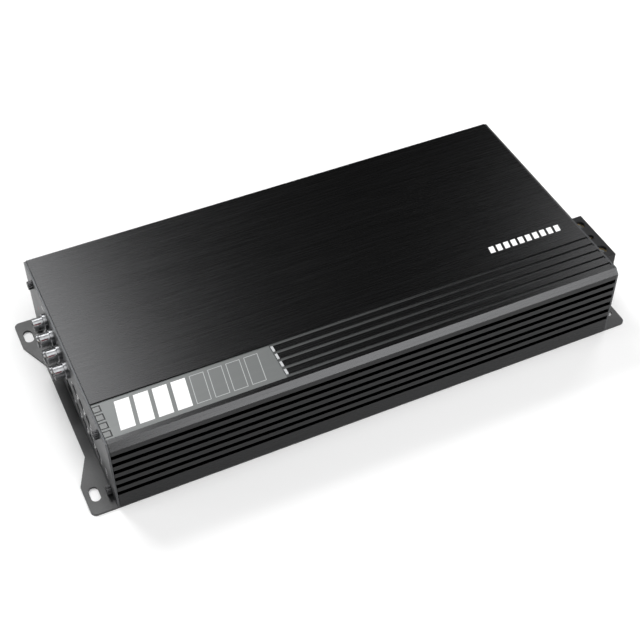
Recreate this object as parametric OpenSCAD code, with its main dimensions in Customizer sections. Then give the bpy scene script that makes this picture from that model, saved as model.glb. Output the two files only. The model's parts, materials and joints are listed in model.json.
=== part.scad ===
// Five-channel car amplifier: a finned aluminium extrusion closed by two end
// plates and a steel base plate with four slotted mounting tabs.
// Millimetres. X runs along the length, signal end at -X and power end at +X.
// Y runs front to back, with the badge along the front. +Z is up.
// The origin is the centre of the footprint, on the mounting surface.

/* [Body] */
// Overall length over the two end plates
body_l = 325; // [305:1:400]
// Depth over the two finned side faces
body_d = 164; // [158:1:200]
// Height of the top face above the mounting surface
body_h = 53.5; // [52.5:0.5:66]
// Size of the 45 degree edge along the top of each side
edge_chamfer = 3.2; // [2:0.1:4]
// Thickness of the top wall
top_wall = 4.5; // [4.4:0.1:5]
// Wall left between the cavity and the fin grooves
side_wall = 4.5; // [4.4:0.1:6]

/* [Side fins] */
// Grooves in each side face
fin_grooves = 6; // [4:1:6]
// Distance from groove to groove
fin_pitch = 6.3; // [6:0.1:6.6]
// Width of a groove
fin_groove_w = 3; // [2:0.1:3.6]
// Depth of a groove
fin_groove_depth = 5.5; // [4:0.1:6]
// Drop from the top face to the middle of the first groove
fin_first_drop = 8.4; // [8:0.1:9]

/* [Top ribs and badge] */
// Channels between the ribs along the front of the top face
channel_count = 5; // [5:1:5]
// Distance from channel to channel
channel_pitch = 6.34; // [6.2:0.02:6.6]
// Width of a channel
channel_w = 2.4; // [1.6:0.1:2.8]
// Depth of a channel
channel_depth = 0.8; // [0.5:0.1:1]
// Width of the rail between the chamfer and the first channel
front_rail_w = 3.2; // [2.6:0.1:3.6]
// Length of the pocket that the badge and the status windows share
badge_pocket_l = 106.7; // [90:0.1:140]
// Thickness of the badge panel
badge_t = 0.6; // [0.4:0.1:0.8]
// Status windows at the left end of the badge
window_count = 4; // [2:1:4]
// Size of a status window along the amplifier's length
window_l = 3.9; // [3:0.1:6]
// Size of a status window across the badge
window_w = 3.6; // [3:0.1:3.7]

/* [End plates] */
// Thickness of an end plate
end_plate_t = 1.2; // [1:0.1:2]
// Gap between an end plate and the end of the extrusion
end_gap = 0.2; // [0.1:0.05:0.4]
// Distance of the upper screw channels from the middle
upper_boss_y = 64; // [62:0.5:65]
// Drop from the top face to the upper screw channels
upper_boss_drop = 6.8; // [6.4:0.1:7]
// Distance of the lower screw channels from the cavity wall
lower_boss_inset = 1.2; // [1:0.1:1.5]
// Height of the lower screw channels above the mounting surface
lower_boss_z = 5; // [4.9:0.1:5.4]

/* [Base plate] */
// Thickness of the base plate
base_t = 1.5; // [1.2:0.1:1.6]
// Reach of a mounting tab past the end plate
tab_reach = 15; // [14:0.5:20]
// Reach of the plain edge between two tabs
edge_reach = 6.1; // [4:0.1:7]
// Width of a tab at its outer edge
tab_w = 22; // [20:0.5:26]
// Corner radius of a tab
tab_corner_r = 3.5; // [2:0.5:5]
// Distance between the two slots at one end
slot_spacing = 135; // [130:1:138]
// Width of a mounting slot
slot_w = 5.6; // [4.5:0.1:6.5]
// Length of a mounting slot, end to end
slot_l = 10.6; // [8:0.1:12]

/* [Signal jacks] */
// Outer diameter of a jack barrel
jack_d = 8.3; // [8.2:0.05:8.4]
// Length of a jack from the end plate to its tip
jack_reach = 8.3; // [7:0.1:12]
// Distance between jack columns
jack_pitch = 14.1; // [13.6:0.1:14.2]
// Columns of jacks in the upper row
upper_jacks = 4; // [4:1:4]
// Columns of jacks in the lower row
lower_jacks = 3; // [3:1:3]
// Height of the upper row above the mounting surface
upper_jack_z = 38.5; // [37.5:0.1:39]
// Height of the lower row above the mounting surface
lower_jack_z = 24.5; // [24:0.1:25]
// Position of the rearmost column
first_jack_y = 38.4; // [38.2:0.1:40]

/* [Controls] */
// Diameter of a control knob
knob_d = 6.4; // [5:0.1:7]
// Clearance between a knob and its hole in the end plate
knob_clearance = 0.8; // [0.4:0.1:1]
// Distance between control columns
knob_pitch = 12.5; // [12:0.1:12.6]
// Position of the control column next to the jacks
first_knob_y = -14.2; // [-16:0.1:-14.2]
// Height of the upper row of controls
upper_knob_z = 31; // [30:0.1:32]
// Height of the lower row of controls
lower_knob_z = 14.5; // [14:0.1:15]

/* [Power terminals] */
// Length of the power terminal block along the end plate
power_l = 39.7; // [39.6:0.1:42]
// Reach of the power terminal block past the end plate
power_reach = 13; // [12:0.1:14]
// Height of the top of the power terminal block
power_top_z = 44.5; // [44:0.1:45]
// Distance between power terminals
power_pitch = 12.5; // [12.4:0.1:13]
// Diameter of the entry for a power wire
power_wire_d = 9; // [7:0.1:9]
// Diameter of the entry for the remote turn-on wire
remote_wire_d = 4.6; // [3:0.1:5]
// Thread diameter of a power clamp screw
clamp_screw_d = 6; // [5:0.1:6]
// Thread diameter of the remote clamp screw
remote_screw_d = 3.5; // [3:0.1:4]

/* [Speaker terminals] */
// Terminals in the speaker block
speaker_poles = 10; // [8:1:10]
// Distance between speaker terminals
speaker_pitch = 6.4; // [6:0.1:6.5]
// Diameter of the entry for a speaker wire
speaker_wire_d = 4.2; // [3:0.1:4.4]
// Reach of the speaker block past the end plate
speaker_reach = 8.5; // [6:0.1:10]

/* [Boards] */
// Height of the underside of the main board
board_z = 10; // [9.6:0.1:11]
// Thickness of the boards
board_t = 1.6; // [1.2:0.1:2]
// Gap between the main board's long edges and the cavity wall
board_edge_gap = 2; // [1.5:0.1:3]

/* [Power parts] */
// Power transistors along each side wall
transistor_count = 14; // [6:2:14]
// Distance between transistors
transistor_pitch = 17; // [14:0.5:18]
// Diameter of the supply transformer over its winding
transformer_d = 48; // [40:1:50]
// Height of the supply transformer
transformer_h = 24; // [18:1:26]
// Diameter of an output inductor over its winding
inductor_d = 27; // [20:1:30]
// Height of an output inductor
inductor_h = 16; // [12:1:20]

/* [Hidden] */
$fn = 48;
EPS = 0.01;
SEAT = 0.05;       // radial clearance of a thread or shank in its hole
LOOSE = 0.3;       // clearance of a piece in a panel cut-out

// Screws
m3_d = 3;
m3_head_d = 5.5;
m3_head_h = 3;
m3_pan_h = 2;
m3_csk_d = 6;
end_screw_l = 8;
base_screw_l = 7;
boss_r = 3.2;
boss_hole_d = m3_d + 2 * SEAT;

// Extrusion
half_l = body_l / 2;
half_d = body_d / 2;
extrusion_l = body_l - 2 * (end_plate_t + end_gap);
cavity_y = half_d - fin_groove_depth - side_wall;
cavity_top = body_h - top_wall;
upper_boss_z = body_h - upper_boss_drop;
lower_boss_y = cavity_y - lower_boss_inset;

// Badge pocket
channel_front_y = -(half_d - edge_chamfer - front_rail_w);
channel_back_y = channel_front_y + (channel_count - 1) * channel_pitch + channel_w;
floor_z = body_h - channel_depth;
pocket_x = -extrusion_l / 2;
window_gap = 0.2;      // clearance of a window in its hole
window_zone_l = window_l + 4 * window_gap;
window_h = 2.1;
led_board_t = 0.4;
led_x = window_gap + window_l / 2;
led_w = 1.6;
led_h = 0.5;
led_recess_w = 2.4;
led_headroom = 0.3;
window_bottom_z = floor_z - window_h;

// Base plate
base_half_d = half_d - 0.5;
tab_slope = 20;
slot_reach = 9.2;
base_screw_x = [-half_l + 25, -half_l / 3, half_l / 3, half_l - 25];
base_screw_y = (cavity_y + half_d) / 2;
sheet_t = 0.5;

// Boards
board_top = board_z + board_t;
board_half_w = cavity_y - board_edge_gap;
board_left_x = -half_l + 16.5;
board_jack_x = -half_l + 3.5;
board_right_x = half_l - 3.5;
standoff_xy = [for (x = [board_left_x + 10, 0, board_right_x - 20], y = [-60, 60]) [x, y]];
standoff_d = 6;
spigot_d = 4;
control_board_x = -half_l + 10.9;
control_board_top = 42;
pot_w = 9;
pot_h = 11;
pot_l = 6.9;

// Jacks
jack_x = -half_l;
jack_block_x = -half_l + 2.5;
jack_block_l = 12;
jack_collar_d = 10.4;
jack_collar_l = 2.2;
jack_wall = 0.65;
jack_contact_d = 3.2;
jack_block_edge = 7;
jack_side_edge = 5.2;
function jack_y(i) = first_jack_y - i * jack_pitch;
upper_jack_yz = [for (i = [0 : upper_jacks - 1]) [jack_y(i), upper_jack_z]];
lower_jack_yz = [for (i = [0 : lower_jacks - 1]) [jack_y(i), lower_jack_z]];
port_y = jack_y(upper_jacks - 1) + 5.3;
port_w = 10.4;
port_h = 7.2;
port_wall = 1;
port_l = 12;

// Controls
function knob_y(i) = first_knob_y - i * knob_pitch;
knob_yz = [
    [knob_y(0), upper_knob_z], [knob_y(1), upper_knob_z], [knob_y(2), upper_knob_z],
    [knob_y(0), lower_knob_z], [knob_y(1), lower_knob_z], [knob_y(2), lower_knob_z],
    [knob_y(3), lower_knob_z]
];
knob_proud = 0.7;
knob_head_l = 3.6;
knob_shaft_d = 3.9;
pot_bore_d = knob_shaft_d + 2 * SEAT;
pot_x = control_board_x - pot_l;

// Power terminals
power_front_y = -61.3;
power_mid_y = power_front_y + power_l / 2;
power_y = [power_mid_y + power_pitch, power_mid_y, power_mid_y - power_pitch];
power_bottom_z = 24;
power_inner_x = half_l - 13;
power_face_x = half_l + power_reach;
power_screw_x = half_l + 7.6;
power_wire_z = 31.5;
power_leg_w = 3;
power_leg_l = 8;
power_block_w = 11;
power_block_l = 11.5;
power_block_h = 16.8;
power_block_z = power_wire_z - 6;
power_block_x = power_face_x - 1.5 - power_block_l;
clamp_screw_l = 4.5;
clamp_socket_depth = 2.2;
power_pad_h = 1.2;
power_screw_top = power_top_z - 2.2;

// Speaker terminals
speaker_l = speaker_poles * speaker_pitch + 2;
speaker_y0 = -9 + speaker_l / 2;
speaker_top_z = board_top + 17;
speaker_inner_x = half_l - 16;
speaker_face_x = half_l + speaker_reach;
speaker_wire_z = board_top + 6.5;
speaker_screw_x = half_l + 4.2;
speaker_screw_d = 3;
speaker_head_d = 4;
speaker_block_w = 4.8;
speaker_block_l = 6.4;
speaker_block_h = 7.8;
speaker_block_z = speaker_wire_z - 2.9;
speaker_block_x = speaker_face_x - 1.6 - speaker_block_l;
function speaker_y(i) = speaker_y0 + (i - (speaker_poles - 1) / 2) * speaker_pitch;

// Power parts
thermal_t = 0.3;
transistor_t = 4.5;
transistor_w = 10;
transistor_h = 15.5;
transistor_z = board_top + 3;
transistor_body_h = 9.2;
tab_plate_t = 1.3;
tab_hole_d = 3.6;
pin_pitch = 2.54;
clamp_t = 3;
clamp_h = 6;
clamp_z = transistor_z + 8.5;
clamp_l = transistor_count * transistor_pitch + 8;
clamp_screw_i = [1, transistor_count / 2, transistor_count - 1];
clamp_screw_thread_l = 3.6;
function transistor_x(i) = (i - (transistor_count - 1) / 2) * transistor_pitch;
function between_x(i) = transistor_x(i) - transistor_pitch / 2;
transformer_xy = [60, -22];
inductor_xy = [for (i = [0 : 4]) [-128 + i * 33, 32]];
input_cap_d = 16;
input_cap_h = 28;
input_cap_xy = [for (i = [0 : 2], j = [0 : 1]) [100 + i * 18, -34 + j * 19]];
rail_cap_d = 22;
rail_cap_h = 29;
rail_cap_xy = [for (i = [0 : 3]) [48 + i * 25, 34]];
chip_xy = [for (i = [0 : 4], j = [0 : 1]) [-120 + i * 22, -46 + j * 20]];
chip_l = 10;
chip_w = 4;
chip_h = 1.5;
chip_standoff = 0.2;
chip_pin_reach = 1.2;
cover_corner = [-20, -52];
cover_l = 34;
cover_w = 30;
cover_h = 8;
cover_t = 0.5;

// ---------- shared shapes ----------

// Stands a profile drawn in Y and Z up and runs it along +X from x.
module along_x(x, l) {
    translate([x, 0, 0]) rotate([90, 0, 90]) linear_extrude(l) children();
}

// A cylinder whose axis runs along +X from x, centred on [y, z].
module rod_x(x, yz, d, l) {
    translate([x, yz[0], yz[1]]) rotate([0, 90, 0]) cylinder(d = d, h = l);
}

// Plain box from its lowest and highest corners.
module span(a, b) {
    translate(a) cube(b - a);
}

// A slot with round ends that runs along Y, centred on the origin.
module slot_2d(w, l) {
    square([w, l - w], center = true);
    for (s = [-1, 1]) translate([0, s * (l - w) / 2]) circle(d = w);
}

// A ring of rectangular section that lies flat on z.
module ring(r_in, r_out, z, h, angle = 360) {
    translate([0, 0, z]) rotate_extrude(angle = angle)
        translate([r_in, 0]) square([r_out - r_in, h]);
}

// A cylinder with a bevelled rim at its free end, axis +Z.
module bevelled_rod(d, h, bevel) {
    rotate_extrude() polygon([
        [0, 0], [d / 2, 0], [d / 2, h - bevel], [d / 2 - bevel, h], [0, h]
    ]);
}

// Socket-head cap screw along +Z, with its head below z = 0.
module cap_screw(l) {
    difference() {
        union() {
            rotate([180, 0, 0]) bevelled_rod(m3_head_d, m3_head_h, 0.3);
            cylinder(d = m3_d, h = l);
        }
        translate([0, 0, -m3_head_h - EPS]) cylinder(d = 2.9, h = 1.5, $fn = 6);
    }
}

// Pan-head screw along +Z, with its head below z = 0.
module pan_screw(l) {
    difference() {
        union() {
            rotate([180, 0, 0]) bevelled_rod(m3_head_d, m3_pan_h, 0.6);
            cylinder(d = m3_d, h = l);
        }
        translate([0, 0, -m3_pan_h - EPS]) for (a = [0, 90])
            rotate(a) translate([-1.5, -0.3, 0]) cube([3, 0.6, 1]);
    }
}

// Screw hole through the base plate, countersunk from below.
module countersunk_hole() {
    rim = m3_csk_d / 2 + 0.1;
    neck = m3_d / 2 + 0.2;
    rotate_extrude() polygon([
        [0, -1], [rim, -1], [rim, 0], [neck, rim - neck], [neck, base_t + 1], [0, base_t + 1]
    ]);
}

// Toroidal core and the two halves of its winding.
module toroid_core(d, h, pad) {
    ring(d / 4, d / 2 - pad, board_top + pad, h - 2 * pad);
}

module toroid_winding(d, h, pad, play) {
    for (a = [10, 190]) rotate(a) translate([0, 0, board_top]) rotate_extrude(angle = 160)
        difference() {
            translate([d / 4 - pad, 0]) square([d / 4 + pad, h]);
            translate([d / 4 - play, pad - play]) square([d / 4 - pad + 2 * play, h - 2 * pad + 2 * play]);
        }
}

// Electrolytic can with a crimped groove and a bevelled top.
module capacitor(d, h) {
    r = d / 2;
    rotate_extrude() polygon([
        [0, 0], [r, 0], [r, 2.2], [r - 0.6, 2.8], [r - 0.6, 3.4], [r, 4],
        [r, h - 0.8], [r - 0.8, h], [r - 2, h], [r - 2, h - 0.3], [0, h - 0.3]
    ]);
}

// ---------- body ----------

// Outline of the extrusion and of the end plates, inset all round.
module body_outline(inset = 0) {
    y = half_d - inset;
    top = body_h - inset;
    polygon([
        [-y, base_t + inset], [y, base_t + inset], [y, top - edge_chamfer],
        [y - edge_chamfer, top], [-y + edge_chamfer, top], [-y, top - edge_chamfer]
    ]);
}

boss_yz = [
    for (s = [-1, 1]) [s * upper_boss_y, upper_boss_z],
    for (s = [-1, 1]) [s * lower_boss_y, lower_boss_z]
];

module extrusion_profile() {
    difference() {
        body_outline();
        difference() {
            translate([-cavity_y, base_t - 1]) square([2 * cavity_y, cavity_top - base_t + 1]);
            for (p = boss_yz) translate(p) circle(r = boss_r);
        }
        for (p = boss_yz) translate(p) circle(d = boss_hole_d);
        for (s = [-1, 1], i = [0 : fin_grooves - 1])
            translate([s * half_d, body_h - fin_first_drop - i * fin_pitch]) fin_groove();
        for (i = [0 : channel_count - 1])
            translate([channel_front_y + i * channel_pitch, floor_z]) square([channel_w, 2]);
    }
}

// A side groove with a round root, centred on the face that it is cut from.
module fin_groove() {
    root = fin_groove_depth - fin_groove_w / 2;
    square([2 * root, fin_groove_w], center = true);
    for (s = [-1, 1]) translate([s * root, 0]) circle(d = fin_groove_w);
}

module heatsink_body() {
    color("#26282b") difference() {
        along_x(pocket_x, extrusion_l) extrusion_profile();
        // pocket for the badge panel
        span([pocket_x - 1, channel_front_y, floor_z - badge_t],
             [pocket_x + badge_pocket_l, channel_back_y, body_h + 1]);
        // slot for the status board, open at the end of the extrusion
        span([pocket_x - 1, channel_front_y + channel_w, window_bottom_z - led_board_t],
             [pocket_x + window_zone_l, channel_back_y, window_bottom_z + led_h + led_headroom]);
        for (i = [0 : window_count - 1]) window_hole(i);
        // cable hole under the status board
        translate([pocket_x + led_x, channel_back_y - 4, cavity_top - 1])
            cylinder(d = 2.6, h = window_bottom_z - cavity_top + 1);
        for (x = base_screw_x, s = [-1, 1])
            translate([x, s * base_screw_y, base_t - 1]) cylinder(d = boss_hole_d, h = base_screw_l + 1);
        for (s = [-1, 1], i = clamp_screw_i)
            translate([between_x(i), s * (cavity_y - 1), clamp_z]) rotate([-s * 90, 0, 0])
                cylinder(d = boss_hole_d, h = clamp_screw_thread_l + 1.3);
    }
}

module end_plate_blank() {
    difference() {
        body_outline(inset = 0.3);
        for (p = boss_yz) translate(p) circle(d = m3_d + 0.5);
    }
}

module left_end_plate() {
    color("#3a3c3e") along_x(-half_l, end_plate_t) difference() {
        end_plate_blank();
        for (p = concat(upper_jack_yz, lower_jack_yz)) translate(p) circle(d = jack_collar_d + 2 * LOOSE);
        for (p = knob_yz) translate(p) circle(d = knob_d + 2 * knob_clearance);
        translate([port_y - port_w / 2 - LOOSE, board_top - LOOSE])
            square([port_w + 2 * LOOSE, port_h + 2 * LOOSE]);
    }
}

module right_end_plate() {
    color("#2c2e30") along_x(half_l - end_plate_t, end_plate_t) difference() {
        end_plate_blank();
        translate([power_front_y - LOOSE, power_bottom_z - LOOSE])
            square([power_l + 2 * LOOSE, power_top_z - power_bottom_z + 2 * LOOSE]);
        translate([speaker_y0 - speaker_l / 2 - LOOSE, board_top - LOOSE])
            square([speaker_l + 2 * LOOSE, speaker_top_z - board_top + 2 * LOOSE]);
    }
}

// Outline of the base plate: one rectangle out to the tabs, cut back between
// them and rounded at its four corners.
module base_outline() {
    tab_x = half_l + tab_reach;
    edge_x = half_l + edge_reach;
    tab_y = base_half_d - tab_w;
    foot_y = tab_y - tab_slope;
    difference() {
        square([2 * tab_x, 2 * base_half_d], center = true);
        for (m = [0, 1]) mirror([m, 0]) {
            polygon([
                [edge_x, -foot_y], [tab_x, -tab_y], [tab_x + 1, -tab_y],
                [tab_x + 1, tab_y], [tab_x, tab_y], [edge_x, foot_y]
            ]);
            for (s = [-1, 1]) translate([half_l + slot_reach, s * slot_spacing / 2]) slot_2d(slot_w, slot_l);
            for (n = [0, 1]) mirror([0, n])
                translate([tab_x - tab_corner_r, base_half_d - tab_corner_r]) difference() {
                    square(tab_corner_r + 1);
                    circle(r = tab_corner_r);
                }
        }
    }
}

module base_plate() {
    color("#343638") difference() {
        linear_extrude(base_t) base_outline();
        for (x = base_screw_x, s = [-1, 1]) translate([x, s * base_screw_y, 0]) countersunk_hole();
        for (p = standoff_xy) translate([p[0], p[1], -1]) cylinder(d = spigot_d + 2 * SEAT, h = base_t + 2);
    }
}

module badge_panel() {
    gap = 0.12;
    color("#6d716f") difference() {
        span([pocket_x + gap, channel_front_y + gap, floor_z - badge_t],
             [pocket_x + badge_pocket_l - gap, channel_back_y - gap, floor_z]);
        for (i = [0 : window_count - 1]) window_hole(i);
    }
}

// Middle of a status window, in line with a rib and counted from the back.
function window_y(i) = channel_back_y - (channel_w + channel_pitch) / 2 - i * channel_pitch;

// Hole for a status window through the badge and the wall under it, open at the end.
module window_hole(i) {
    y = window_y(i);
    w = window_w / 2 + window_gap;
    span([pocket_x - 1, y - w, window_bottom_z], [pocket_x + window_l + 2 * window_gap, y + w, body_h]);
}

// Square block of width w over LED i, from z0 to z1.
module over_led(i, w, z0, z1) {
    y = window_y(i);
    span([pocket_x + led_x - w / 2, y - w / 2, z0], [pocket_x + led_x + w / 2, y + w / 2, z1]);
}

module status_windows() {
    color("#585c5b") for (i = [0 : window_count - 1]) difference() {
        span([pocket_x + window_gap, window_y(i) - window_w / 2, window_bottom_z],
             [pocket_x + window_gap + window_l, window_y(i) + window_w / 2, floor_z]);
        over_led(i, led_recess_w, window_bottom_z - 1, window_bottom_z + led_h + led_headroom);
    }
}

module status_leds() {
    color("#d8dcc8") for (i = [0 : window_count - 1])
        over_led(i, led_w, window_bottom_z, window_bottom_z + led_h);
}

module status_board() {
    color("#1f5a34")
        span([pocket_x + 0.3, channel_front_y + channel_w + 0.2, window_bottom_z - led_board_t],
             [pocket_x + window_zone_l - 0.3, channel_back_y - 0.2, window_bottom_z]);
}

module end_plate_screws() {
    color("#141415") for (s = [-1, 1], p = boss_yz)
        translate([s * half_l, p[0], p[1]]) rotate([0, -s * 90, 0]) cap_screw(end_screw_l);
}

module base_screws() {
    color("#1b1c1d") for (x = base_screw_x, s = [-1, 1]) translate([x, s * base_screw_y, 0])
        difference() {
            union() {
                cylinder(d1 = m3_csk_d, d2 = m3_d, h = (m3_csk_d - m3_d) / 2);
                cylinder(d = m3_d, h = base_screw_l);
            }
            for (a = [0, 90]) rotate(a) translate([-1.5, -0.3, -EPS]) cube([3, 0.6, 0.9]);
        }
}

module insulating_sheet() {
    color("#d8cfae") difference() {
        span([-half_l + 6, -board_half_w + 4, base_t], [half_l - 6, board_half_w - 4, base_t + sheet_t]);
        for (p = standoff_xy) translate([p[0], p[1], base_t - 1]) cylinder(d = standoff_d + 1.4, h = 3);
    }
}

// ---------- boards ----------

module main_board() {
    color("#1d6b3c") difference() {
        union() {
            span([board_left_x, -board_half_w, board_z], [board_right_x, board_half_w, board_top]);
            span([board_jack_x, first_knob_y + pot_w / 2 + 0.6, board_z],
                 [board_left_x + 1, board_half_w, board_top]);
        }
        for (p = standoff_xy) translate([p[0], p[1], board_z - 1]) cylinder(d = m3_d + 0.4, h = board_t + 2);
    }
}

module board_standoffs() {
    color("#c9b27a") for (p = standoff_xy) translate(p) difference() {
        union() {
            translate([0, 0, base_t]) cylinder(d = standoff_d, h = board_z - base_t, $fn = 6);
            translate([0, 0, 0.1]) cylinder(d = spigot_d, h = base_t);
        }
        translate([0, 0, board_z - 7]) cylinder(d = m3_d + 2 * SEAT, h = 8);
    }
}

module board_screws() {
    color("#b9bcc0") for (p = standoff_xy)
        translate([p[0], p[1], board_top]) rotate([180, 0, 0]) pan_screw(board_t + 5);
}

module control_board() {
    color("#1d6b3c")
        span([control_board_x, knob_y(3) - 7, board_z - 5],
             [control_board_x + board_t, first_knob_y + pot_w / 2, control_board_top]);
}

// Pin strip that joins the control board to the main board.
module board_header() {
    x = control_board_x + board_t;
    color("#1a1a1a")
        span([x, knob_y(3), board_top], [board_left_x + 2.5, knob_y(0), board_top + 2.5]);
}

// ---------- signal end ----------

module rca_jack_block() {
    x1 = jack_block_x + jack_block_l;
    top = upper_jack_z + jack_block_edge;
    y_low = jack_y(lower_jacks - 1) - jack_pitch / 2;
    color("#151617") difference() {
        union() {
            span([jack_block_x, y_low, board_top], [x1, first_jack_y + jack_block_edge, top]);
            span([jack_block_x, jack_y(upper_jacks - 1) - jack_side_edge, upper_jack_z - jack_block_edge],
                 [x1, y_low + 1, top]);
        }
        // notch for the level port
        span([jack_block_x - 1, y_low - 1, board_top - 1],
             [x1 + 1, port_y + port_w / 2 + LOOSE, board_top + port_h + LOOSE]);
        for (p = concat(upper_jack_yz, lower_jack_yz))
            rod_x(jack_block_x - 1, p, jack_contact_d + 2 * SEAT, 9);
    }
}

// Shell of one jack: collar and slotted barrel in one turned piece.
module rca_shell(yz) {
    tip = jack_x - jack_reach;
    bore = jack_d - 2 * jack_wall;
    difference() {
        translate([jack_block_x, yz[0], yz[1]]) rotate([0, -90, 0]) rotate_extrude() polygon([
            [bore / 2, 0], [jack_collar_d / 2, 0],
            [jack_collar_d / 2, jack_block_x - jack_x + jack_collar_l - 0.4],
            [jack_collar_d / 2 - 0.4, jack_block_x - jack_x + jack_collar_l],
            [jack_d / 2, jack_block_x - jack_x + jack_collar_l],
            [jack_d / 2, jack_block_x - tip - 0.3], [jack_d / 2 - 0.3, jack_block_x - tip],
            [bore / 2, jack_block_x - tip]
        ]);
        for (a = [0, 90]) translate([tip - 1, yz[0], yz[1]]) rotate([45 + a, 0, 0])
            translate([0, -0.4, -jack_d]) cube([jack_reach - jack_collar_l - 0.6, 0.8, 2 * jack_d]);
    }
}

module rca_shells() {
    color("#d5d7da") for (p = concat(upper_jack_yz, lower_jack_yz)) rca_shell(p);
}

// Insulating sleeve between a shell and its centre contact.
module rca_insulator(yz) {
    tip = jack_x - jack_reach + 1;
    difference() {
        rod_x(tip, yz, jack_d - 2 * jack_wall - 2 * SEAT, jack_block_x - tip);
        rod_x(tip - 1, yz, jack_contact_d + 2 * SEAT, jack_block_x - tip + 2);
    }
}

module rca_red_insulators() {
    color("#b3262e") for (p = upper_jack_yz) rca_insulator(p);
}

module rca_white_insulators() {
    color("#eceae4") for (p = lower_jack_yz) rca_insulator(p);
}

module rca_contacts() {
    tip = jack_x - jack_reach + 1.2;
    color("#c8a24a") for (p = concat(upper_jack_yz, lower_jack_yz)) difference() {
        rod_x(tip, p, jack_contact_d, jack_block_x - tip + 7.9);
        rod_x(tip - 1, p, 2, jack_block_x - tip + 5);
    }
}

module level_port() {
    color("#131314") difference() {
        span([-half_l - 0.4, port_y - port_w / 2, board_top],
             [-half_l + port_l, port_y + port_w / 2, board_top + port_h]);
        span([-half_l - 2, port_y - port_w / 2 + port_wall, board_top + port_wall],
             [-half_l + port_l - 2.5, port_y + port_w / 2 - port_wall, board_top + port_h - port_wall]);
    }
}

module level_port_contacts() {
    color("#c8a24a") for (i = [-1.5 : 1 : 1.5])
        span([-half_l + 3, port_y + i * 1.6 - 0.25, board_top + port_wall],
             [-half_l + port_l - 2.5, port_y + i * 1.6 + 0.25, board_top + port_wall + 0.6]);
}

module control_pot_bodies() {
    color("#24476b") for (p = knob_yz) difference() {
        span([pot_x, p[0] - pot_w / 2, p[1] - pot_h / 2], [control_board_x, p[0] + pot_w / 2, p[1] + pot_h / 2]);
        rod_x(pot_x - 1, p, pot_bore_d, 6.5);
    }
}

// Recessed control knob with a screwdriver slot and its own shaft.
module control_knob(i) {
    p = knob_yz[i];
    face_x = -half_l - knob_proud;
    color("#d9d9d6") difference() {
        translate([face_x + knob_head_l, p[0], p[1]]) rotate([0, -90, 0])
            bevelled_rod(knob_d, knob_head_l, 0.4);
        translate([face_x - EPS, p[0] - 0.5, p[1] - knob_d / 2 + 0.6]) cube([0.9, 1, knob_d]);
    }
    color("#d9d9d6") rod_x(face_x + knob_head_l - EPS, p, knob_shaft_d, pot_x + 5 - face_x - knob_head_l);
}

module front_gain_knob() { control_knob(0); }
module rear_gain_knob() { control_knob(1); }
module sub_gain_knob() { control_knob(2); }
module front_filter_knob() { control_knob(3); }
module rear_filter_knob() { control_knob(4); }
module sub_filter_knob() { control_knob(5); }
module bass_level_knob() { control_knob(6); }

// ---------- power end ----------

function power_wire_bore(i) = i == 1 ? remote_wire_d : power_wire_d;
function power_screw_bore(i) = i == 1 ? remote_screw_d : clamp_screw_d;

module power_terminal_housing() {
    color("#1c1d1f") difference() {
        union() {
            span([power_inner_x, power_front_y, power_bottom_z],
                 [power_face_x, power_front_y + power_l, power_top_z]);
            // legs down to the main board
            for (y = [power_front_y, power_front_y + power_l - power_leg_w])
                span([power_inner_x, y, board_top],
                     [power_inner_x + power_leg_l, y + power_leg_w, power_bottom_z + 1]);
        }
        for (i = [0 : 2]) {
            // wire entry
            rod_x(power_block_x, [power_y[i], power_wire_z], power_wire_bore(i), 40);
            // seat of the contact block, open to the inside of the amplifier
            span([power_inner_x - 1, power_y[i] - power_block_w / 2 - SEAT, power_block_z - SEAT],
                 [power_block_x + power_block_l + SEAT, power_y[i] + power_block_w / 2 + SEAT,
                  power_block_z + power_block_h + SEAT]);
            // screw hole
            translate([power_screw_x, power_y[i], power_block_z]) cylinder(d = power_screw_bore(i) + 0.4, h = 40);
        }
    }
}

module power_terminal_contacts() {
    color("#c9a85a") for (i = [0 : 2]) difference() {
        union() {
            span([power_block_x, power_y[i] - power_block_w / 2, power_block_z],
                 [power_block_x + power_block_l, power_y[i] + power_block_w / 2, power_block_z + power_block_h]);
            // solder bar down to the board
            span([power_inner_x - 4, power_y[i] - 4, power_block_z],
                 [power_block_x + 1, power_y[i] + 4, power_block_z + 2]);
            span([power_inner_x - 4, power_y[i] - 4, board_top],
                 [power_inner_x - 2, power_y[i] + 4, power_block_z + 1]);
        }
        rod_x(power_block_x + 1.5, [power_y[i], power_wire_z], power_wire_bore(i) - 0.6, 40);
        translate([power_screw_x, power_y[i], power_wire_z])
            cylinder(d = power_screw_bore(i) + 2 * SEAT, h = 40);
    }
}

// Set screw with a hexagon socket, its top just under the housing's top.
module clamp_screw(i) {
    d = power_screw_bore(i);
    color("#c2c5c9") translate([power_screw_x, power_y[i], power_screw_top - clamp_screw_l]) difference() {
        bevelled_rod(d, clamp_screw_l, 0.5);
        translate([0, 0, clamp_screw_l - clamp_socket_depth]) cylinder(d = d * 0.6, h = 3, $fn = 6);
    }
}

// Foot that the set screw pushes down onto the wire.
module clamp_pad(i) {
    color("#b08d45") translate([power_screw_x, power_y[i], power_screw_top - clamp_screw_l - power_pad_h - SEAT])
        cylinder(d = power_screw_bore(i), h = power_pad_h);
}

module supply_clamp_screw() { clamp_screw(0); }
module remote_clamp_screw() { clamp_screw(1); }
module ground_clamp_screw() { clamp_screw(2); }
module supply_clamp_pad() { clamp_pad(0); }
module remote_clamp_pad() { clamp_pad(1); }
module ground_clamp_pad() { clamp_pad(2); }

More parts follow.
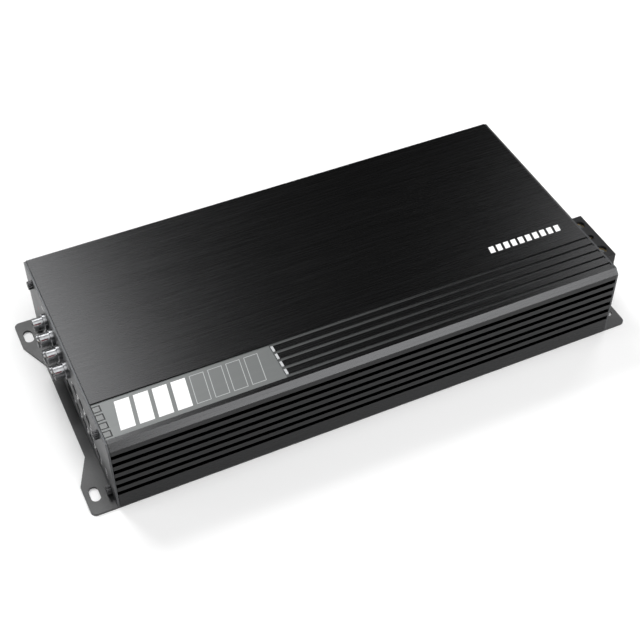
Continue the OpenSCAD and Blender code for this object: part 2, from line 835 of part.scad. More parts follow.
module speaker_terminal_housing() {
    color("#161718") difference() {
        span([speaker_inner_x, speaker_y0 - speaker_l / 2, board_top],
             [speaker_face_x, speaker_y0 + speaker_l / 2, speaker_top_z]);
        for (i = [0 : speaker_poles - 1]) {
            rod_x(speaker_screw_x, [speaker_y(i), speaker_wire_z], speaker_wire_d, 40);
            translate([speaker_screw_x, speaker_y(i), speaker_wire_z])
                cylinder(d = speaker_head_d + 0.6, h = 40);
            // seat of the contact, open to the inside of the amplifier
            span([speaker_inner_x - 1, speaker_y(i) - speaker_block_w / 2 - SEAT,
                  speaker_block_z - SEAT],
                 [speaker_block_x + speaker_block_l + SEAT, speaker_y(i) + speaker_block_w / 2 + SEAT,
                  speaker_block_z + speaker_block_h + SEAT]);
        }
    }
}

module speaker_terminal_contacts() {
    color("#c9c2a8") for (i = [0 : speaker_poles - 1]) difference() {
        union() {
            span([speaker_block_x, speaker_y(i) - speaker_block_w / 2, speaker_block_z],
                 [speaker_block_x + speaker_block_l, speaker_y(i) + speaker_block_w / 2,
                  speaker_block_z + speaker_block_h]);
            // solder bar down to the board
            span([speaker_inner_x - 2, speaker_y(i) - 1.2, speaker_block_z],
                 [speaker_block_x + 1, speaker_y(i) + 1.2, speaker_block_z + 0.8]);
            span([speaker_inner_x - 2, speaker_y(i) - 1.2, board_top],
                 [speaker_inner_x - 1.2, speaker_y(i) + 1.2, speaker_block_z + 0.4]);
        }
        rod_x(speaker_block_x + 0.8, [speaker_y(i), speaker_wire_z], speaker_wire_d - 0.6, 40);
        translate([speaker_screw_x, speaker_y(i), speaker_wire_z])
            cylinder(d = speaker_screw_d + 2 * SEAT, h = 40);
    }
}

module speaker_clamp_screws() {
    color("#b9bcc0") for (i = [0 : speaker_poles - 1])
        translate([speaker_screw_x, speaker_y(i), speaker_wire_z + 2.4]) difference() {
            union() {
                cylinder(d = speaker_screw_d, h = 3);
                translate([0, 0, 2.5]) bevelled_rod(speaker_head_d, 2.2, 0.4);
            }
            translate([-2.5, -0.35, 3.9]) cube([5, 0.7, 2]);
        }
}

// ---------- parts on the main board ----------

module transformer_core() {
    color("#3b3d3f") translate(transformer_xy) toroid_core(transformer_d, transformer_h, 3);
}

module transformer_winding() {
    color("#a8622c") translate(transformer_xy) toroid_winding(transformer_d, transformer_h, 3, 0.1);
}

module inductor_cores() {
    color("#2e5b3a") for (p = inductor_xy) translate(p) toroid_core(inductor_d, inductor_h, 2);
}

module inductor_windings() {
    color("#b36a30") for (p = inductor_xy) translate(p) toroid_winding(inductor_d, inductor_h, 2, 0.1);
}

module input_capacitors() {
    color("#1f2a44") for (p = input_cap_xy)
        translate([p[0], p[1], board_top]) capacitor(input_cap_d, input_cap_h);
}

module rail_capacitors() {
    color("#2b2b2e") for (p = rail_cap_xy) translate([p[0], p[1], board_top]) capacitor(rail_cap_d, rail_cap_h);
}

// Power transistor standing on its legs, its metal tab facing +Y at y = 0.
module transistor() {
    difference() {
        span([-transistor_w / 2, -tab_plate_t, 0], [transistor_w / 2, 0, transistor_h]);
        translate([0, 1, transistor_h - 3]) rotate([90, 0, 0]) cylinder(d = tab_hole_d, h = 4);
    }
    span([-transistor_w / 2, -transistor_t, 0], [transistor_w / 2, 0.1 - tab_plate_t, transistor_body_h]);
    for (i = [-1, 0, 1])
        span([i * pin_pitch - 0.4, -2.7, board_top - transistor_z], [i * pin_pitch + 0.4, -2.2, 0.1]);
}

module transistor_row() {
    for (i = [0 : transistor_count - 1])
        translate([transistor_x(i), cavity_y - thermal_t, transistor_z]) transistor();
}

module rear_transistors() { color("#1a1b1d") transistor_row(); }
module front_transistors() { color("#1a1b1d") rotate(180) transistor_row(); }

module thermal_strip() {
    difference() {
        span([-clamp_l / 2, cavity_y - thermal_t, transistor_z - 0.6],
             [clamp_l / 2, cavity_y, transistor_z + transistor_h + 1]);
        for (i = clamp_screw_i) translate([between_x(i), cavity_y - 1, clamp_z]) rotate([-90, 0, 0])
            cylinder(d = m3_d + 0.6, h = 2);
    }
}

module rear_thermal_strip() { color("#9aa3a8") thermal_strip(); }
module front_thermal_strip() { color("#9aa3a8") rotate(180) thermal_strip(); }

module clamp_bar() {
    y1 = cavity_y - thermal_t - transistor_t;
    difference() {
        span([-clamp_l / 2, y1 - clamp_t, clamp_z - clamp_h / 2], [clamp_l / 2, y1, clamp_z + clamp_h / 2]);
        for (i = clamp_screw_i) translate([between_x(i), y1 - clamp_t - 1, clamp_z]) rotate([-90, 0, 0])
            cylinder(d = m3_d + 0.4, h = clamp_t + 2);
    }
}

module rear_clamp_bar() { color("#9fa3a6") clamp_bar(); }
module front_clamp_bar() { color("#9fa3a6") rotate(180) clamp_bar(); }

module clamp_bar_screws() {
    y1 = cavity_y - thermal_t - transistor_t - clamp_t;
    color("#b9bcc0") for (a = [0, 180], i = clamp_screw_i)
        rotate(a) translate([a == 0 ? between_x(i) : -between_x(i), y1, clamp_z]) rotate([-90, 0, 0])
            pan_screw(cavity_y - y1 + clamp_screw_thread_l - 0.3);
}

module signal_chips() {
    color("#17181a") for (p = chip_xy) {
        base_z = board_top + chip_standoff;
        pin_y = chip_w / 2 + chip_pin_reach;
        span([p[0] - chip_l / 2, p[1] - chip_w / 2, base_z],
             [p[0] + chip_l / 2, p[1] + chip_w / 2, base_z + chip_h]);
        for (i = [-1.5 : 1 : 1.5])
            span([p[0] + i * pin_pitch - 0.2, p[1] - pin_y, board_top],
                 [p[0] + i * pin_pitch + 0.2, p[1] + pin_y, board_top + 0.5]);
    }
}

// Folded screening cover over the signal processor.
module processor_cover() {
    color("#b5b8bb") difference() {
        translate([cover_corner[0], cover_corner[1], board_top]) cube([cover_l, cover_w, cover_h]);
        translate([cover_corner[0] + cover_t, cover_corner[1] + cover_t, board_top - 1])
            cube([cover_l - 2 * cover_t, cover_w - 2 * cover_t, cover_h - cover_t + 1]);
    }
}

heatsink_body();
left_end_plate();
right_end_plate();
base_plate();
badge_panel();
status_windows();
status_leds();
status_board();
end_plate_screws();
base_screws();
insulating_sheet();
main_board();
board_standoffs();
board_screws();
control_board();
board_header();
rca_jack_block();
rca_shells();
rca_red_insulators();
rca_white_insulators();
rca_contacts();
level_port();
level_port_contacts();
control_pot_bodies();
front_gain_knob();
rear_gain_knob();
sub_gain_knob();
front_filter_knob();
rear_filter_knob();
sub_filter_knob();
bass_level_knob();
power_terminal_housing();
power_terminal_contacts();
supply_clamp_screw();
remote_clamp_screw();
ground_clamp_screw();
supply_clamp_pad();
remote_clamp_pad();
ground_clamp_pad();
speaker_terminal_housing();
speaker_terminal_contacts();
speaker_clamp_screws();
transformer_core();
transformer_winding();
inductor_cores();
inductor_windings();
input_capacitors();
rail_capacitors();
front_transistors();
rear_transistors();
front_thermal_strip();
rear_thermal_strip();
front_clamp_bar();
rear_clamp_bar();
clamp_bar_screws();
signal_chips();
processor_cover();
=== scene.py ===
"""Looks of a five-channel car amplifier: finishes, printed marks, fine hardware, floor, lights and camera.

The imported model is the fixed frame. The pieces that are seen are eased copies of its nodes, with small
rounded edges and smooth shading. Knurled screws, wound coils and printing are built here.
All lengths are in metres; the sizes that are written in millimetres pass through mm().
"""

from __future__ import annotations

import json
import logging
import math
from dataclasses import dataclass, field
from enum import Enum
from typing import Sequence

import bmesh
import bpy
from mathutils import Matrix, Vector

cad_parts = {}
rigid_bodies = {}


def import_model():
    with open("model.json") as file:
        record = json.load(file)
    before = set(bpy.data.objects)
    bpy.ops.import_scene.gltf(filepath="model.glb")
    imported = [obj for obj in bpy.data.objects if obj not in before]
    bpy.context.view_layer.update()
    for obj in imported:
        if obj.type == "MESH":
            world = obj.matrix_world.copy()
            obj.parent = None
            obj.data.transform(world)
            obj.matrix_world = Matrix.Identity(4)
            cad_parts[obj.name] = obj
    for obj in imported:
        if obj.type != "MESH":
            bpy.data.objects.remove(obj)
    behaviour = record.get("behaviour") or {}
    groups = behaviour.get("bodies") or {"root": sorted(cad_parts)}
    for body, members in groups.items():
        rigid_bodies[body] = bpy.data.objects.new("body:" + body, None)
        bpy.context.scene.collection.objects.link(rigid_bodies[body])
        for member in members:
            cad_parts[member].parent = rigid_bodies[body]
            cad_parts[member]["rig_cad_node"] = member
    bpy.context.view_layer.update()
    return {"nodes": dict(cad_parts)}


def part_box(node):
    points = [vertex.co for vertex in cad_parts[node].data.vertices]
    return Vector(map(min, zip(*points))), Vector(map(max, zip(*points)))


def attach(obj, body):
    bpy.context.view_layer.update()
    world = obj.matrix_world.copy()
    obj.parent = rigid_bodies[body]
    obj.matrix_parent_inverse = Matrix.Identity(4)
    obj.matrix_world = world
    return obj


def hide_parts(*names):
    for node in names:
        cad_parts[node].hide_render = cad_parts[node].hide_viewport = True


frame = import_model()

LOG = logging.getLogger("amplifier")
CASE = "amplifier_case"
Socket = bpy.types.NodeSocket
Colour = tuple[float, float, float]


def mm(value: float) -> float:
    """Return a length given in millimetres in metres."""
    return value / 1000.0


# ---------------------------------------------------------------- shader tools


class Graph:
    """A material's node tree with one main shader, built socket by socket."""

    def __init__(self, name: str) -> None:
        """Make a new material with an empty tree and a main shader.

        Args:
            name: The material's name.
        """
        self.material = bpy.data.materials.new(name)
        self.material.use_nodes = True
        self.tree = self.material.node_tree
        self.tree.nodes.clear()
        output = self.tree.nodes.new("ShaderNodeOutputMaterial")
        self.shader = self.tree.nodes.new("ShaderNodeBsdfPrincipled")
        self.tree.links.new(self.shader.outputs["BSDF"], output.inputs["Surface"])
        self.position = self.tree.nodes.new("ShaderNodeTexCoord").outputs["Object"]

    def set(self, **values: float | Colour | Socket) -> None:
        """Set or link the main shader's sockets; a name's underscores stand for spaces."""
        for key, value in values.items():
            self._feed(self.shader.inputs[key.replace("_", " ")], value)

    def _feed(self, socket: Socket, value: float | Colour | Socket) -> None:
        """Link a socket to another one, or give it a constant."""
        if isinstance(value, bpy.types.NodeSocket):
            self.tree.links.new(value, socket)
        elif isinstance(value, tuple) and socket.type == "RGBA":
            socket.default_value = (*value, 1.0)
        else:
            socket.default_value = value

    def stretched(self, scale: Sequence[float], offset: Sequence[float] = (0, 0, 0)) -> Socket:
        """Return the object's own coordinates, scaled and moved.

        Args:
            scale: Factor along each axis, in cells per metre.
            offset: Place that is moved to the pattern's origin, in metres.

        Returns:
            The vector socket of the mapping.
        """
        node = self.tree.nodes.new("ShaderNodeMapping")
        self.tree.links.new(self.position, node.inputs["Vector"])
        node.inputs["Scale"].default_value = tuple(scale)
        node.inputs["Location"].default_value = tuple(-o * s for o, s in zip(offset, scale))
        return node.outputs["Vector"]

    def noise(self, vector: Socket, detail: float = 3.0, rough: float = 0.55, scale: float = 1.0) -> Socket:
        """Return a noise pattern between 0 and 1 on a vector."""
        node = self.tree.nodes.new("ShaderNodeTexNoise")
        self.tree.links.new(vector, node.inputs["Vector"])
        node.inputs["Scale"].default_value = scale
        node.inputs["Detail"].default_value = detail
        node.inputs["Roughness"].default_value = rough
        return node.outputs["Fac"]

    def cells(self, vector: Socket) -> Socket:
        """Return the distance to the nearest of many scattered points."""
        node = self.tree.nodes.new("ShaderNodeTexVoronoi")
        self.tree.links.new(vector, node.inputs["Vector"])
        node.inputs["Scale"].default_value = 1.0
        return node.outputs["Distance"]

    def bands(self, vector: Socket, axis: str) -> Socket:
        """Return smooth bands across one axis of a vector."""
        node = self.tree.nodes.new("ShaderNodeTexWave")
        node.bands_direction = axis
        self.tree.links.new(vector, node.inputs["Vector"])
        node.inputs["Scale"].default_value = 1.0
        return node.outputs["Fac"]

    def spread(self, value: Socket, low: float, high: float, start: float = 0.0, end: float = 1.0) -> Socket:
        """Map a value from start...end to low...high, held at both ends."""
        node = self.tree.nodes.new("ShaderNodeMapRange")
        self.tree.links.new(value, node.inputs["Value"])
        node.inputs["From Min"].default_value = start
        node.inputs["From Max"].default_value = end
        node.inputs["To Min"].default_value = low
        node.inputs["To Max"].default_value = high
        return node.outputs["Result"]

    def math(self, operation: str, a: float | Socket, b: float | Socket = 0.0) -> Socket:
        """Return the result of a math node on two values."""
        node = self.tree.nodes.new("ShaderNodeMath")
        node.operation = operation
        self._feed(node.inputs[0], a)
        self._feed(node.inputs[1], b)
        return node.outputs["Value"]

    def axis(self, name: str) -> Socket:
        """Return one of the object's own coordinates, X, Y or Z."""
        node = self.tree.nodes.new("ShaderNodeSeparateXYZ")
        self.tree.links.new(self.position, node.inputs["Vector"])
        return node.outputs[name]

    def tint(self, factor: Socket, first: Colour, second: Colour) -> Socket:
        """Return a colour between two, by a factor from 0 to 1."""
        node = self.tree.nodes.new("ShaderNodeMix")
        node.data_type = "RGBA"
        self.tree.links.new(factor, node.inputs["Factor"])
        node.inputs["A"].default_value = (*first, 1.0)
        node.inputs["B"].default_value = (*second, 1.0)
        return node.outputs["Result"]

    def blend(self, factor: Socket, first: Socket, second: Colour) -> Socket:
        """Return a linked colour that a second colour covers by a factor from 0 to 1."""
        node = self.tree.nodes.new("ShaderNodeMix")
        node.data_type = "RGBA"
        self.tree.links.new(factor, node.inputs["Factor"])
        self.tree.links.new(first, node.inputs["A"])
        node.inputs["B"].default_value = (*second, 1.0)
        return node.outputs["Result"]

    def relief(self, height: Socket, depth: float, strength: float = 1.0) -> Socket:
        """Return a normal that is tilted by a height pattern.

        Args:
            height: The pattern, from 0 to 1.
            depth: Height of the relief in metres.
            strength: Share of the relief that is used.

        Returns:
            The normal socket of the bump node.
        """
        node = self.tree.nodes.new("ShaderNodeBump")
        self.tree.links.new(height, node.inputs["Height"])
        node.inputs["Distance"].default_value = depth
        node.inputs["Strength"].default_value = strength
        return node.outputs["Normal"]


def lighter(colour: Colour, factor: float) -> Colour:
    """Return a colour with every channel multiplied by a factor."""
    return tuple(min(1.0, c * factor) for c in colour)


class Direction(Enum):
    """The way that a brushed or turned surface is worked."""

    ALONG_X = (22.0, 2600.0, 2600.0)
    ALONG_Y = (2600.0, 22.0, 2600.0)
    ROUND_X = (1300.0, 90.0, 90.0)


@dataclass(frozen=True)
class Brushed:
    """Anodised or bare metal with fine parallel brushing."""

    name: str
    colour: Colour
    roughness: float = 0.34
    direction: Direction = Direction.ALONG_X
    depth: float = mm(0.012)
    metallic: float = 1.0
    streak: float = 0.22

    def material(self) -> bpy.types.Material:
        """Build the finish: fine scratches, broad streaks and a faint cloudiness."""
        graph = Graph(self.name)
        fine = graph.noise(graph.stretched(self.direction.value), detail=4.0, rough=0.7)
        broad_scale = tuple(s * 0.16 for s in self.direction.value)
        broad = graph.noise(graph.stretched(broad_scale), detail=2.0)
        cloud = graph.noise(graph.stretched((14.0, 14.0, 14.0)), detail=2.0)
        mixed = graph.math("ADD", graph.math("MULTIPLY", fine, 0.55), graph.math("MULTIPLY", broad, 0.45))
        shade = graph.tint(graph.spread(mixed, 0.0, 1.0, 0.32, 0.68),
                           lighter(self.colour, 1.0 - self.streak), lighter(self.colour, 1.0 + self.streak))
        rough = graph.math("ADD", graph.spread(fine, self.roughness - 0.05, self.roughness + 0.06, 0.3, 0.7),
                           graph.spread(cloud, -0.02, 0.03, 0.3, 0.7))
        graph.set(Base_Color=shade, Metallic=self.metallic, Roughness=rough,
                  Normal=graph.relief(fine, self.depth, 0.5))
        return graph.material


@dataclass(frozen=True)
class Extrusion:
    """Brushed black anodising with its machined and printed zones.

    The channel floors are grey next to the badge and fade to black, the rib ends are bare where the
    badge pocket was milled, and the roots of the side grooves are rougher and painted near black, a
    painted shade where the grooves are deep.
    """

    name: str
    colour: Colour
    channel: Colour
    bare: Colour
    floor_z: float
    channels: tuple[float, float]
    rib_end_x: float
    fade_l: float
    groove_shade_y: float
    groove_shade_z: tuple[float, float]
    roughness: float = 0.27

    def material(self) -> bpy.types.Material:
        """Build the finish: fine brushing with masks for each zone."""
        graph = Graph(self.name)
        fine = graph.noise(graph.stretched((26.0, 2400.0, 2400.0)), detail=4.0, rough=0.75)
        streak = graph.noise(graph.stretched((7.0, 900.0, 900.0)), detail=2.0)
        mixed = graph.math("ADD", graph.math("MULTIPLY", fine, 0.7), graph.math("MULTIPLY", streak, 0.3))
        base = graph.tint(graph.spread(mixed, 0.0, 1.0, 0.34, 0.66),
                          lighter(self.colour, 0.91), lighter(self.colour, 1.10))
        x, y, z = (graph.axis(name) for name in "XYZ")
        # Painted shade: the roots of the side grooves get a near-black colour for the shade deep in them.
        groove_shade = graph.math("MULTIPLY", self._between(graph, z, *self.groove_shade_z),
                             graph.math("LESS_THAN", graph.math("ABSOLUTE", y), self.groove_shade_y))
        floor = graph.math("MULTIPLY", self._between(graph, z, self.floor_z - mm(0.1), self.floor_z + mm(0.1)),
                           self._between(graph, y, *self.channels))
        fade = graph.spread(x, 1.0, 0.0, self.rib_end_x, self.rib_end_x + self.fade_l)
        end = graph.math("MULTIPLY", graph.math("GREATER_THAN", z, self.floor_z + mm(0.1)),
                         graph.math("MULTIPLY", self._between(graph, y, *self.channels),
                                    self._between(graph, x, self.rib_end_x - mm(0.3), self.rib_end_x + mm(1.5))))
        painted = graph.math("MULTIPLY", floor, fade)
        # Painted shade in the groove roots.
        colour = graph.blend(groove_shade, base, lighter(self.colour, 0.04))
        colour = graph.blend(painted, colour, self.channel)
        colour = graph.blend(end, colour, self.bare)
        metallic = graph.math("SUBTRACT", graph.math("SUBTRACT", 1.0, graph.math("MULTIPLY", painted, 0.65)),
                              graph.math("MULTIPLY", end, 0.8))
        rough = graph.math("ADD", graph.spread(fine, self.roughness - 0.04, self.roughness + 0.05, 0.3, 0.7),
                           graph.math("MULTIPLY", groove_shade, 0.25))
        graph.set(Base_Color=colour, Metallic=metallic, Roughness=rough,
                  Normal=graph.relief(fine, mm(0.008), 0.35))
        return graph.material

    def _between(self, graph: Graph, value: Socket, low: float, high: float) -> Socket:
        """Return 1 where a value lies between two limits and 0 elsewhere."""
        return graph.math("MULTIPLY", graph.math("GREATER_THAN", value, low), graph.math("LESS_THAN", value, high))


@dataclass(frozen=True)
class PowderCoat:
    """Sprayed and baked paint with a very fine orange-peel skin."""

    name: str
    colour: Colour
    roughness: float = 0.42
    grain: float = 1500.0
    depth: float = mm(0.02)

    def material(self) -> bpy.types.Material:
        """Build the finish: peel, specks and a slow drift of gloss."""
        graph = Graph(self.name)
        peel = graph.noise(graph.stretched((self.grain,) * 3), detail=2.0)
        speck = graph.cells(graph.stretched((self.grain * 0.6,) * 3))
        drift = graph.noise(graph.stretched((18.0, 18.0, 18.0)), detail=3.0)
        shade = graph.tint(graph.spread(speck, 0.0, 1.0, 0.1, 0.7),
                           lighter(self.colour, 1.18), lighter(self.colour, 0.92))
        rough = graph.spread(drift, self.roughness - 0.05, self.roughness + 0.06, 0.3, 0.7)
        graph.set(Base_Color=shade, Roughness=rough, Normal=graph.relief(peel, self.depth, 0.5))
        return graph.material


@dataclass(frozen=True)
class Moulded:
    """Moulded plastic or rubber with a spark-eroded grain."""

    name: str
    colour: Colour
    roughness: float = 0.45
    grain: float = 3200.0
    depth: float = mm(0.02)
    coat: float = 0.0
    gloss: float = 0.5

    def material(self) -> bpy.types.Material:
        """Build the finish: grain, flow marks and a little unevenness of colour."""
        graph = Graph(self.name)
        grain = graph.noise(graph.stretched((self.grain,) * 3), detail=2.0, rough=0.6)
        flow = graph.noise(graph.stretched((120.0, 60.0, 160.0)), detail=3.0)
        shade = graph.tint(graph.spread(flow, 0.0, 1.0, 0.3, 0.7),
                           lighter(self.colour, 0.85), lighter(self.colour, 1.15))
        rough = graph.spread(grain, self.roughness - 0.07, self.roughness + 0.07, 0.3, 0.7)
        graph.set(Base_Color=shade, Roughness=rough, Coat_Weight=self.coat, Coat_Roughness=0.08,
                  Specular_IOR_Level=self.gloss, Normal=graph.relief(grain, self.depth, 0.45))
        return graph.material


@dataclass(frozen=True)
class Plated:
    """Plated or plain metal that was turned or pressed, with light tool marks and a thin haze."""

    name: str
    colour: Colour
    roughness: float = 0.16
    direction: Direction = Direction.ROUND_X
    depth: float = mm(0.006)

    def material(self) -> bpy.types.Material:
        """Build the finish: tool marks, haze and slight tarnish."""
        graph = Graph(self.name)
        marks = graph.noise(graph.stretched(self.direction.value), detail=2.0)
        haze = graph.noise(graph.stretched((380.0, 380.0, 380.0)), detail=4.0)
        shade = graph.tint(graph.spread(haze, 0.0, 1.0, 0.35, 0.75), self.colour, lighter(self.colour, 0.82))
        rough = graph.math("ADD", graph.spread(haze, self.roughness - 0.04, self.roughness + 0.08, 0.3, 0.7),
                           graph.spread(marks, 0.0, 0.04))
        graph.set(Base_Color=shade, Metallic=1.0, Roughness=rough, Normal=graph.relief(marks, self.depth, 0.35))
        return graph.material


@dataclass(frozen=True)
class Acrylic:
    """Smoked clear plastic over a dark pocket, polished on its face."""

    name: str
    colour: Colour

    def material(self) -> bpy.types.Material:
        """Build the finish: a deep tint, faint streaks and a polished coat."""
        graph = Graph(self.name)
        streak = graph.noise(graph.stretched((60.0, 900.0, 900.0)), detail=2.0)
        shade = graph.tint(graph.spread(streak, 0.0, 1.0, 0.3, 0.7),
                           lighter(self.colour, 0.9), lighter(self.colour, 1.1))
        rough = graph.spread(streak, 0.36, 0.46, 0.3, 0.7)
        graph.set(Base_Color=shade, Roughness=rough, Coat_Weight=0.12, Coat_Roughness=0.1, IOR=1.49)
        return graph.material


@dataclass(frozen=True)
class Ink:
    """Screen-printed ink, a little uneven where the mesh left its mark."""

    name: str
    colour: Colour
    roughness: float = 0.5

    def material(self) -> bpy.types.Material:
        """Build the finish: mesh marks and slight thin spots."""
        graph = Graph(self.name)
        thin = graph.noise(graph.stretched((700.0, 700.0, 700.0)), detail=3.0)
        mesh = graph.cells(graph.stretched((5200.0, 5200.0, 5200.0)))
        shade = graph.tint(graph.spread(thin, 0.0, 1.0, 0.25, 0.6), lighter(self.colour, 0.9), self.colour)
        graph.set(Base_Color=shade, Roughness=graph.spread(thin, self.roughness - 0.05, self.roughness + 0.08),
                  Normal=graph.relief(mesh, mm(0.004), 0.4))
        return graph.material


@dataclass(frozen=True)
class CircuitBoard:
    """Glass-fibre board with solder mask over copper tracks."""

    name: str
    mask: Colour = (0.010, 0.085, 0.030)
    track: Colour = (0.020, 0.150, 0.045)
    pitch: float = mm(2.4)

    def material(self) -> bpy.types.Material:
        """Build the finish: parallel tracks that break up in blocks, and a glossy mask."""
        graph = Graph(self.name)
        cells = 1.0 / self.pitch
        lines = graph.bands(graph.stretched((cells * 0.1, cells * 2.0, cells * 0.1)), "Y")
        blocks = graph.noise(graph.stretched((90.0, 55.0, 90.0)), detail=0.0)
        tracks = graph.math("MULTIPLY", graph.spread(lines, 0.0, 1.0, 0.55, 0.65),
                            graph.spread(blocks, 0.0, 1.0, 0.48, 0.52))
        weave = graph.noise(graph.stretched((1800.0, 1800.0, 1800.0)), detail=1.0)
        graph.set(Base_Color=graph.tint(tracks, self.mask, self.track), Coat_Weight=0.4, Coat_Roughness=0.12,
                  Roughness=graph.spread(weave, 0.3, 0.42), Normal=graph.relief(tracks, mm(0.035), 0.6))
        return graph.material


@dataclass(frozen=True)
class Sleeved:
    """Shrunk plastic sleeve round a can, with a pale stripe down one side and a bare top."""

    name: str
    sleeve: Colour
    stripe: Colour
    top_z: float
    pitch: float

    def material(self) -> bpy.types.Material:
        """Build the finish: the stripe repeats with the cans' spacing, the top is bare metal."""
        graph = Graph(self.name)
        across = graph.math("FRACT", graph.math("DIVIDE", graph.math("ADD", graph.axis("X"), 1.0), self.pitch))
        stripe = graph.math("LESS_THAN", across, 0.14)
        bare = graph.math("GREATER_THAN", graph.axis("Z"), self.top_z)
        tone = graph.noise(graph.stretched((900.0, 900.0, 300.0)), detail=2.0)
        sleeve = graph.tint(stripe, self.sleeve, self.stripe)
        node = graph.tree.nodes.new("ShaderNodeMix")
        node.data_type = "RGBA"
        graph.tree.links.new(bare, node.inputs["Factor"])
        graph.tree.links.new(sleeve, node.inputs["A"])
        node.inputs["B"].default_value = (0.55, 0.56, 0.57, 1.0)
        graph.set(Base_Color=node.outputs["Result"], Metallic=bare, Roughness=graph.spread(tone, 0.24, 0.38),
                  Normal=graph.relief(tone, mm(0.03), 0.4))
        return graph.material


@dataclass(frozen=True)
class Enamelled:
    """Enamelled copper wire."""

    name: str
    colour: Colour = (0.46, 0.17, 0.06)

    def material(self) -> bpy.types.Material:
        """Build the finish: copper seen through a thin varnish of uneven thickness."""
        graph = Graph(self.name)
        varnish = graph.noise(graph.stretched((500.0, 500.0, 500.0)), detail=3.0)
        shade = graph.tint(graph.spread(varnish, 0.0, 1.0, 0.3, 0.7),
                           lighter(self.colour, 0.7), lighter(self.colour, 1.25))
        graph.set(Base_Color=shade, Metallic=0.85, Roughness=graph.spread(varnish, 0.24, 0.4),
                  Coat_Weight=0.6, Coat_Roughness=0.15, Normal=graph.relief(varnish, mm(0.02), 0.4))
        return graph.material


@dataclass(frozen=True)
class Floor:
    """The pale studio floor."""

    name: str = "studio_floor"
    colour: Colour = (0.96, 0.96, 0.96)

    def material(self) -> bpy.types.Material:
        """Build the finish: matt paper with a hardly visible tone."""
        graph = Graph(self.name)
        tone = graph.noise(graph.stretched((6.0, 6.0, 6.0)), detail=2.0)
        graph.set(Base_Color=graph.tint(tone, lighter(self.colour, 0.995), self.colour), Roughness=0.9,
                  Specular_IOR_Level=0.1)
        return graph.material


Finish = Brushed | Extrusion | PowderCoat | Moulded | Plated | Acrylic | Ink | CircuitBoard | Sleeved | Enamelled


class Paint(Enum):
    """Every finish on the amplifier, with the record's slot that it belongs to."""

    PLATE = ("anodised_plate", Brushed("satin_black_end_plate", (0.072, 0.074, 0.077), 0.42,
                                       Direction.ALONG_Y, mm(0.006), 0.8, 0.07))
    BASE = ("coated_steel", PowderCoat("black_powder_coat", (0.022, 0.0225, 0.0235), 0.4))
    BADGE = ("badge_metal", Brushed("grey_badge_panel", (0.142, 0.149, 0.148), 0.42,
                                    Direction.ALONG_X, mm(0.003), 0.35, 0.04))
    WINDOW = ("smoked_acrylic", Acrylic("smoked_window", (0.118, 0.123, 0.122)))
    LED = ("led_lens", Moulded("led_epoxy", (0.75, 0.78, 0.68), 0.2, 900.0, mm(0.005), 0.5))
    BLACK_SCREW = ("black_oxide_steel", Plated("black_oxide", (0.055, 0.055, 0.057), 0.22, Direction.ROUND_X, mm(0.001)))
    STEEL = ("bright_steel", Plated("zinc_plate", (0.45, 0.46, 0.47), 0.26))
    SHELL = ("plated_shell", Plated("nickel_plate", (0.24, 0.243, 0.25), 0.27, Direction.ROUND_X, mm(0.0004)))
    GOLD = ("gold_contact", Plated("gold_flash", (0.85, 0.62, 0.26), 0.16))
    BRASS = ("terminal_brass", Plated("tinned_brass", (0.74, 0.6, 0.34), 0.26))
    RED = ("red_insulator", Moulded("red_insulator_plastic", (0.20, 0.010, 0.028), 0.3, 2200.0, mm(0.01), 0.2))
    WHITE = ("white_insulator", Moulded("white_insulator_plastic", (0.78, 0.77, 0.74), 0.3, 2200.0, mm(0.01), 0.2))
    KNOB = ("knob_grey", Moulded("dark_control_nylon", (0.028, 0.028, 0.030), 0.38))
    NYLON = ("black_nylon", Moulded("black_terminal_nylon", (0.008, 0.008, 0.009), 0.42,
                                     3200.0, mm(0.02), 0.0, 0.2))
    POT = ("pot_blue", Moulded("blue_control_body", (0.02, 0.08, 0.2), 0.4))
    BOARD = ("circuit_board", CircuitBoard("green_circuit_board"))
    PAPER = ("insulating_paper", Moulded("fibre_paper", (0.56, 0.47, 0.28), 0.6, 1400.0, mm(0.05)))
    FERRITE = ("ferrite", Moulded("sintered_core", (0.045, 0.046, 0.05), 0.7, 2600.0, mm(0.05)))
    COPPER = ("copper_winding", Enamelled("enamelled_copper"))
    CHIP = ("transistor_case", Moulded("epoxy_package", (0.016, 0.016, 0.018), 0.55))
    PAD = ("silicone_pad", Moulded("silicone_strip", (0.33, 0.36, 0.38), 0.65, 1600.0, mm(0.03)))
    MILL = ("mill_aluminium", Brushed("mill_aluminium", (0.62, 0.63, 0.64), 0.36))
    TIN = ("tinned_steel", Brushed("bright_tinned_sheet", (0.6, 0.61, 0.62), 0.24))
    INK = ("badge_metal", Ink("white_ink", (0.9, 0.9, 0.9)))
    GREY_INK = ("badge_metal", Ink("grey_ink", (0.40, 0.41, 0.41)))
    # Painted shadow: black lines for the shade in the gaps round the status windows.
    SHADOW_INK = ("badge_metal", Ink("painted_window_shadow", (0.006, 0.006, 0.006)))
    RED_INK = ("badge_metal", Ink("red_ink", (0.4, 0.02, 0.05)))


class Paintbox:
    """Builds each finish once and gives it to pieces."""

    def __init__(self) -> None:
        """Start with no finish built."""
        self._built: dict[str, bpy.types.Material] = {}

    def material(self, finish: Finish) -> bpy.types.Material:
        """Return the material of a finish, building it on first use."""
        if finish.name not in self._built:
            self._built[finish.name] = finish.material()
        return self._built[finish.name]

    def dress(self, piece: bpy.types.Object, paint: Paint) -> None:
        """Put one finish on a piece."""
        slot, finish = paint.value
        self.dress_with(piece, finish)

    def dress_with(self, piece: bpy.types.Object, finish: Finish) -> None:
        """Put a finish that is made for one piece on it.

        Args:
            piece: The piece or CAD node.
            finish: The finish.
        """
        piece.data.materials.clear()
        piece.data.materials.append(self.material(finish))


PAINTS = Paintbox()


# ---------------------------------------------------------------- mesh tools


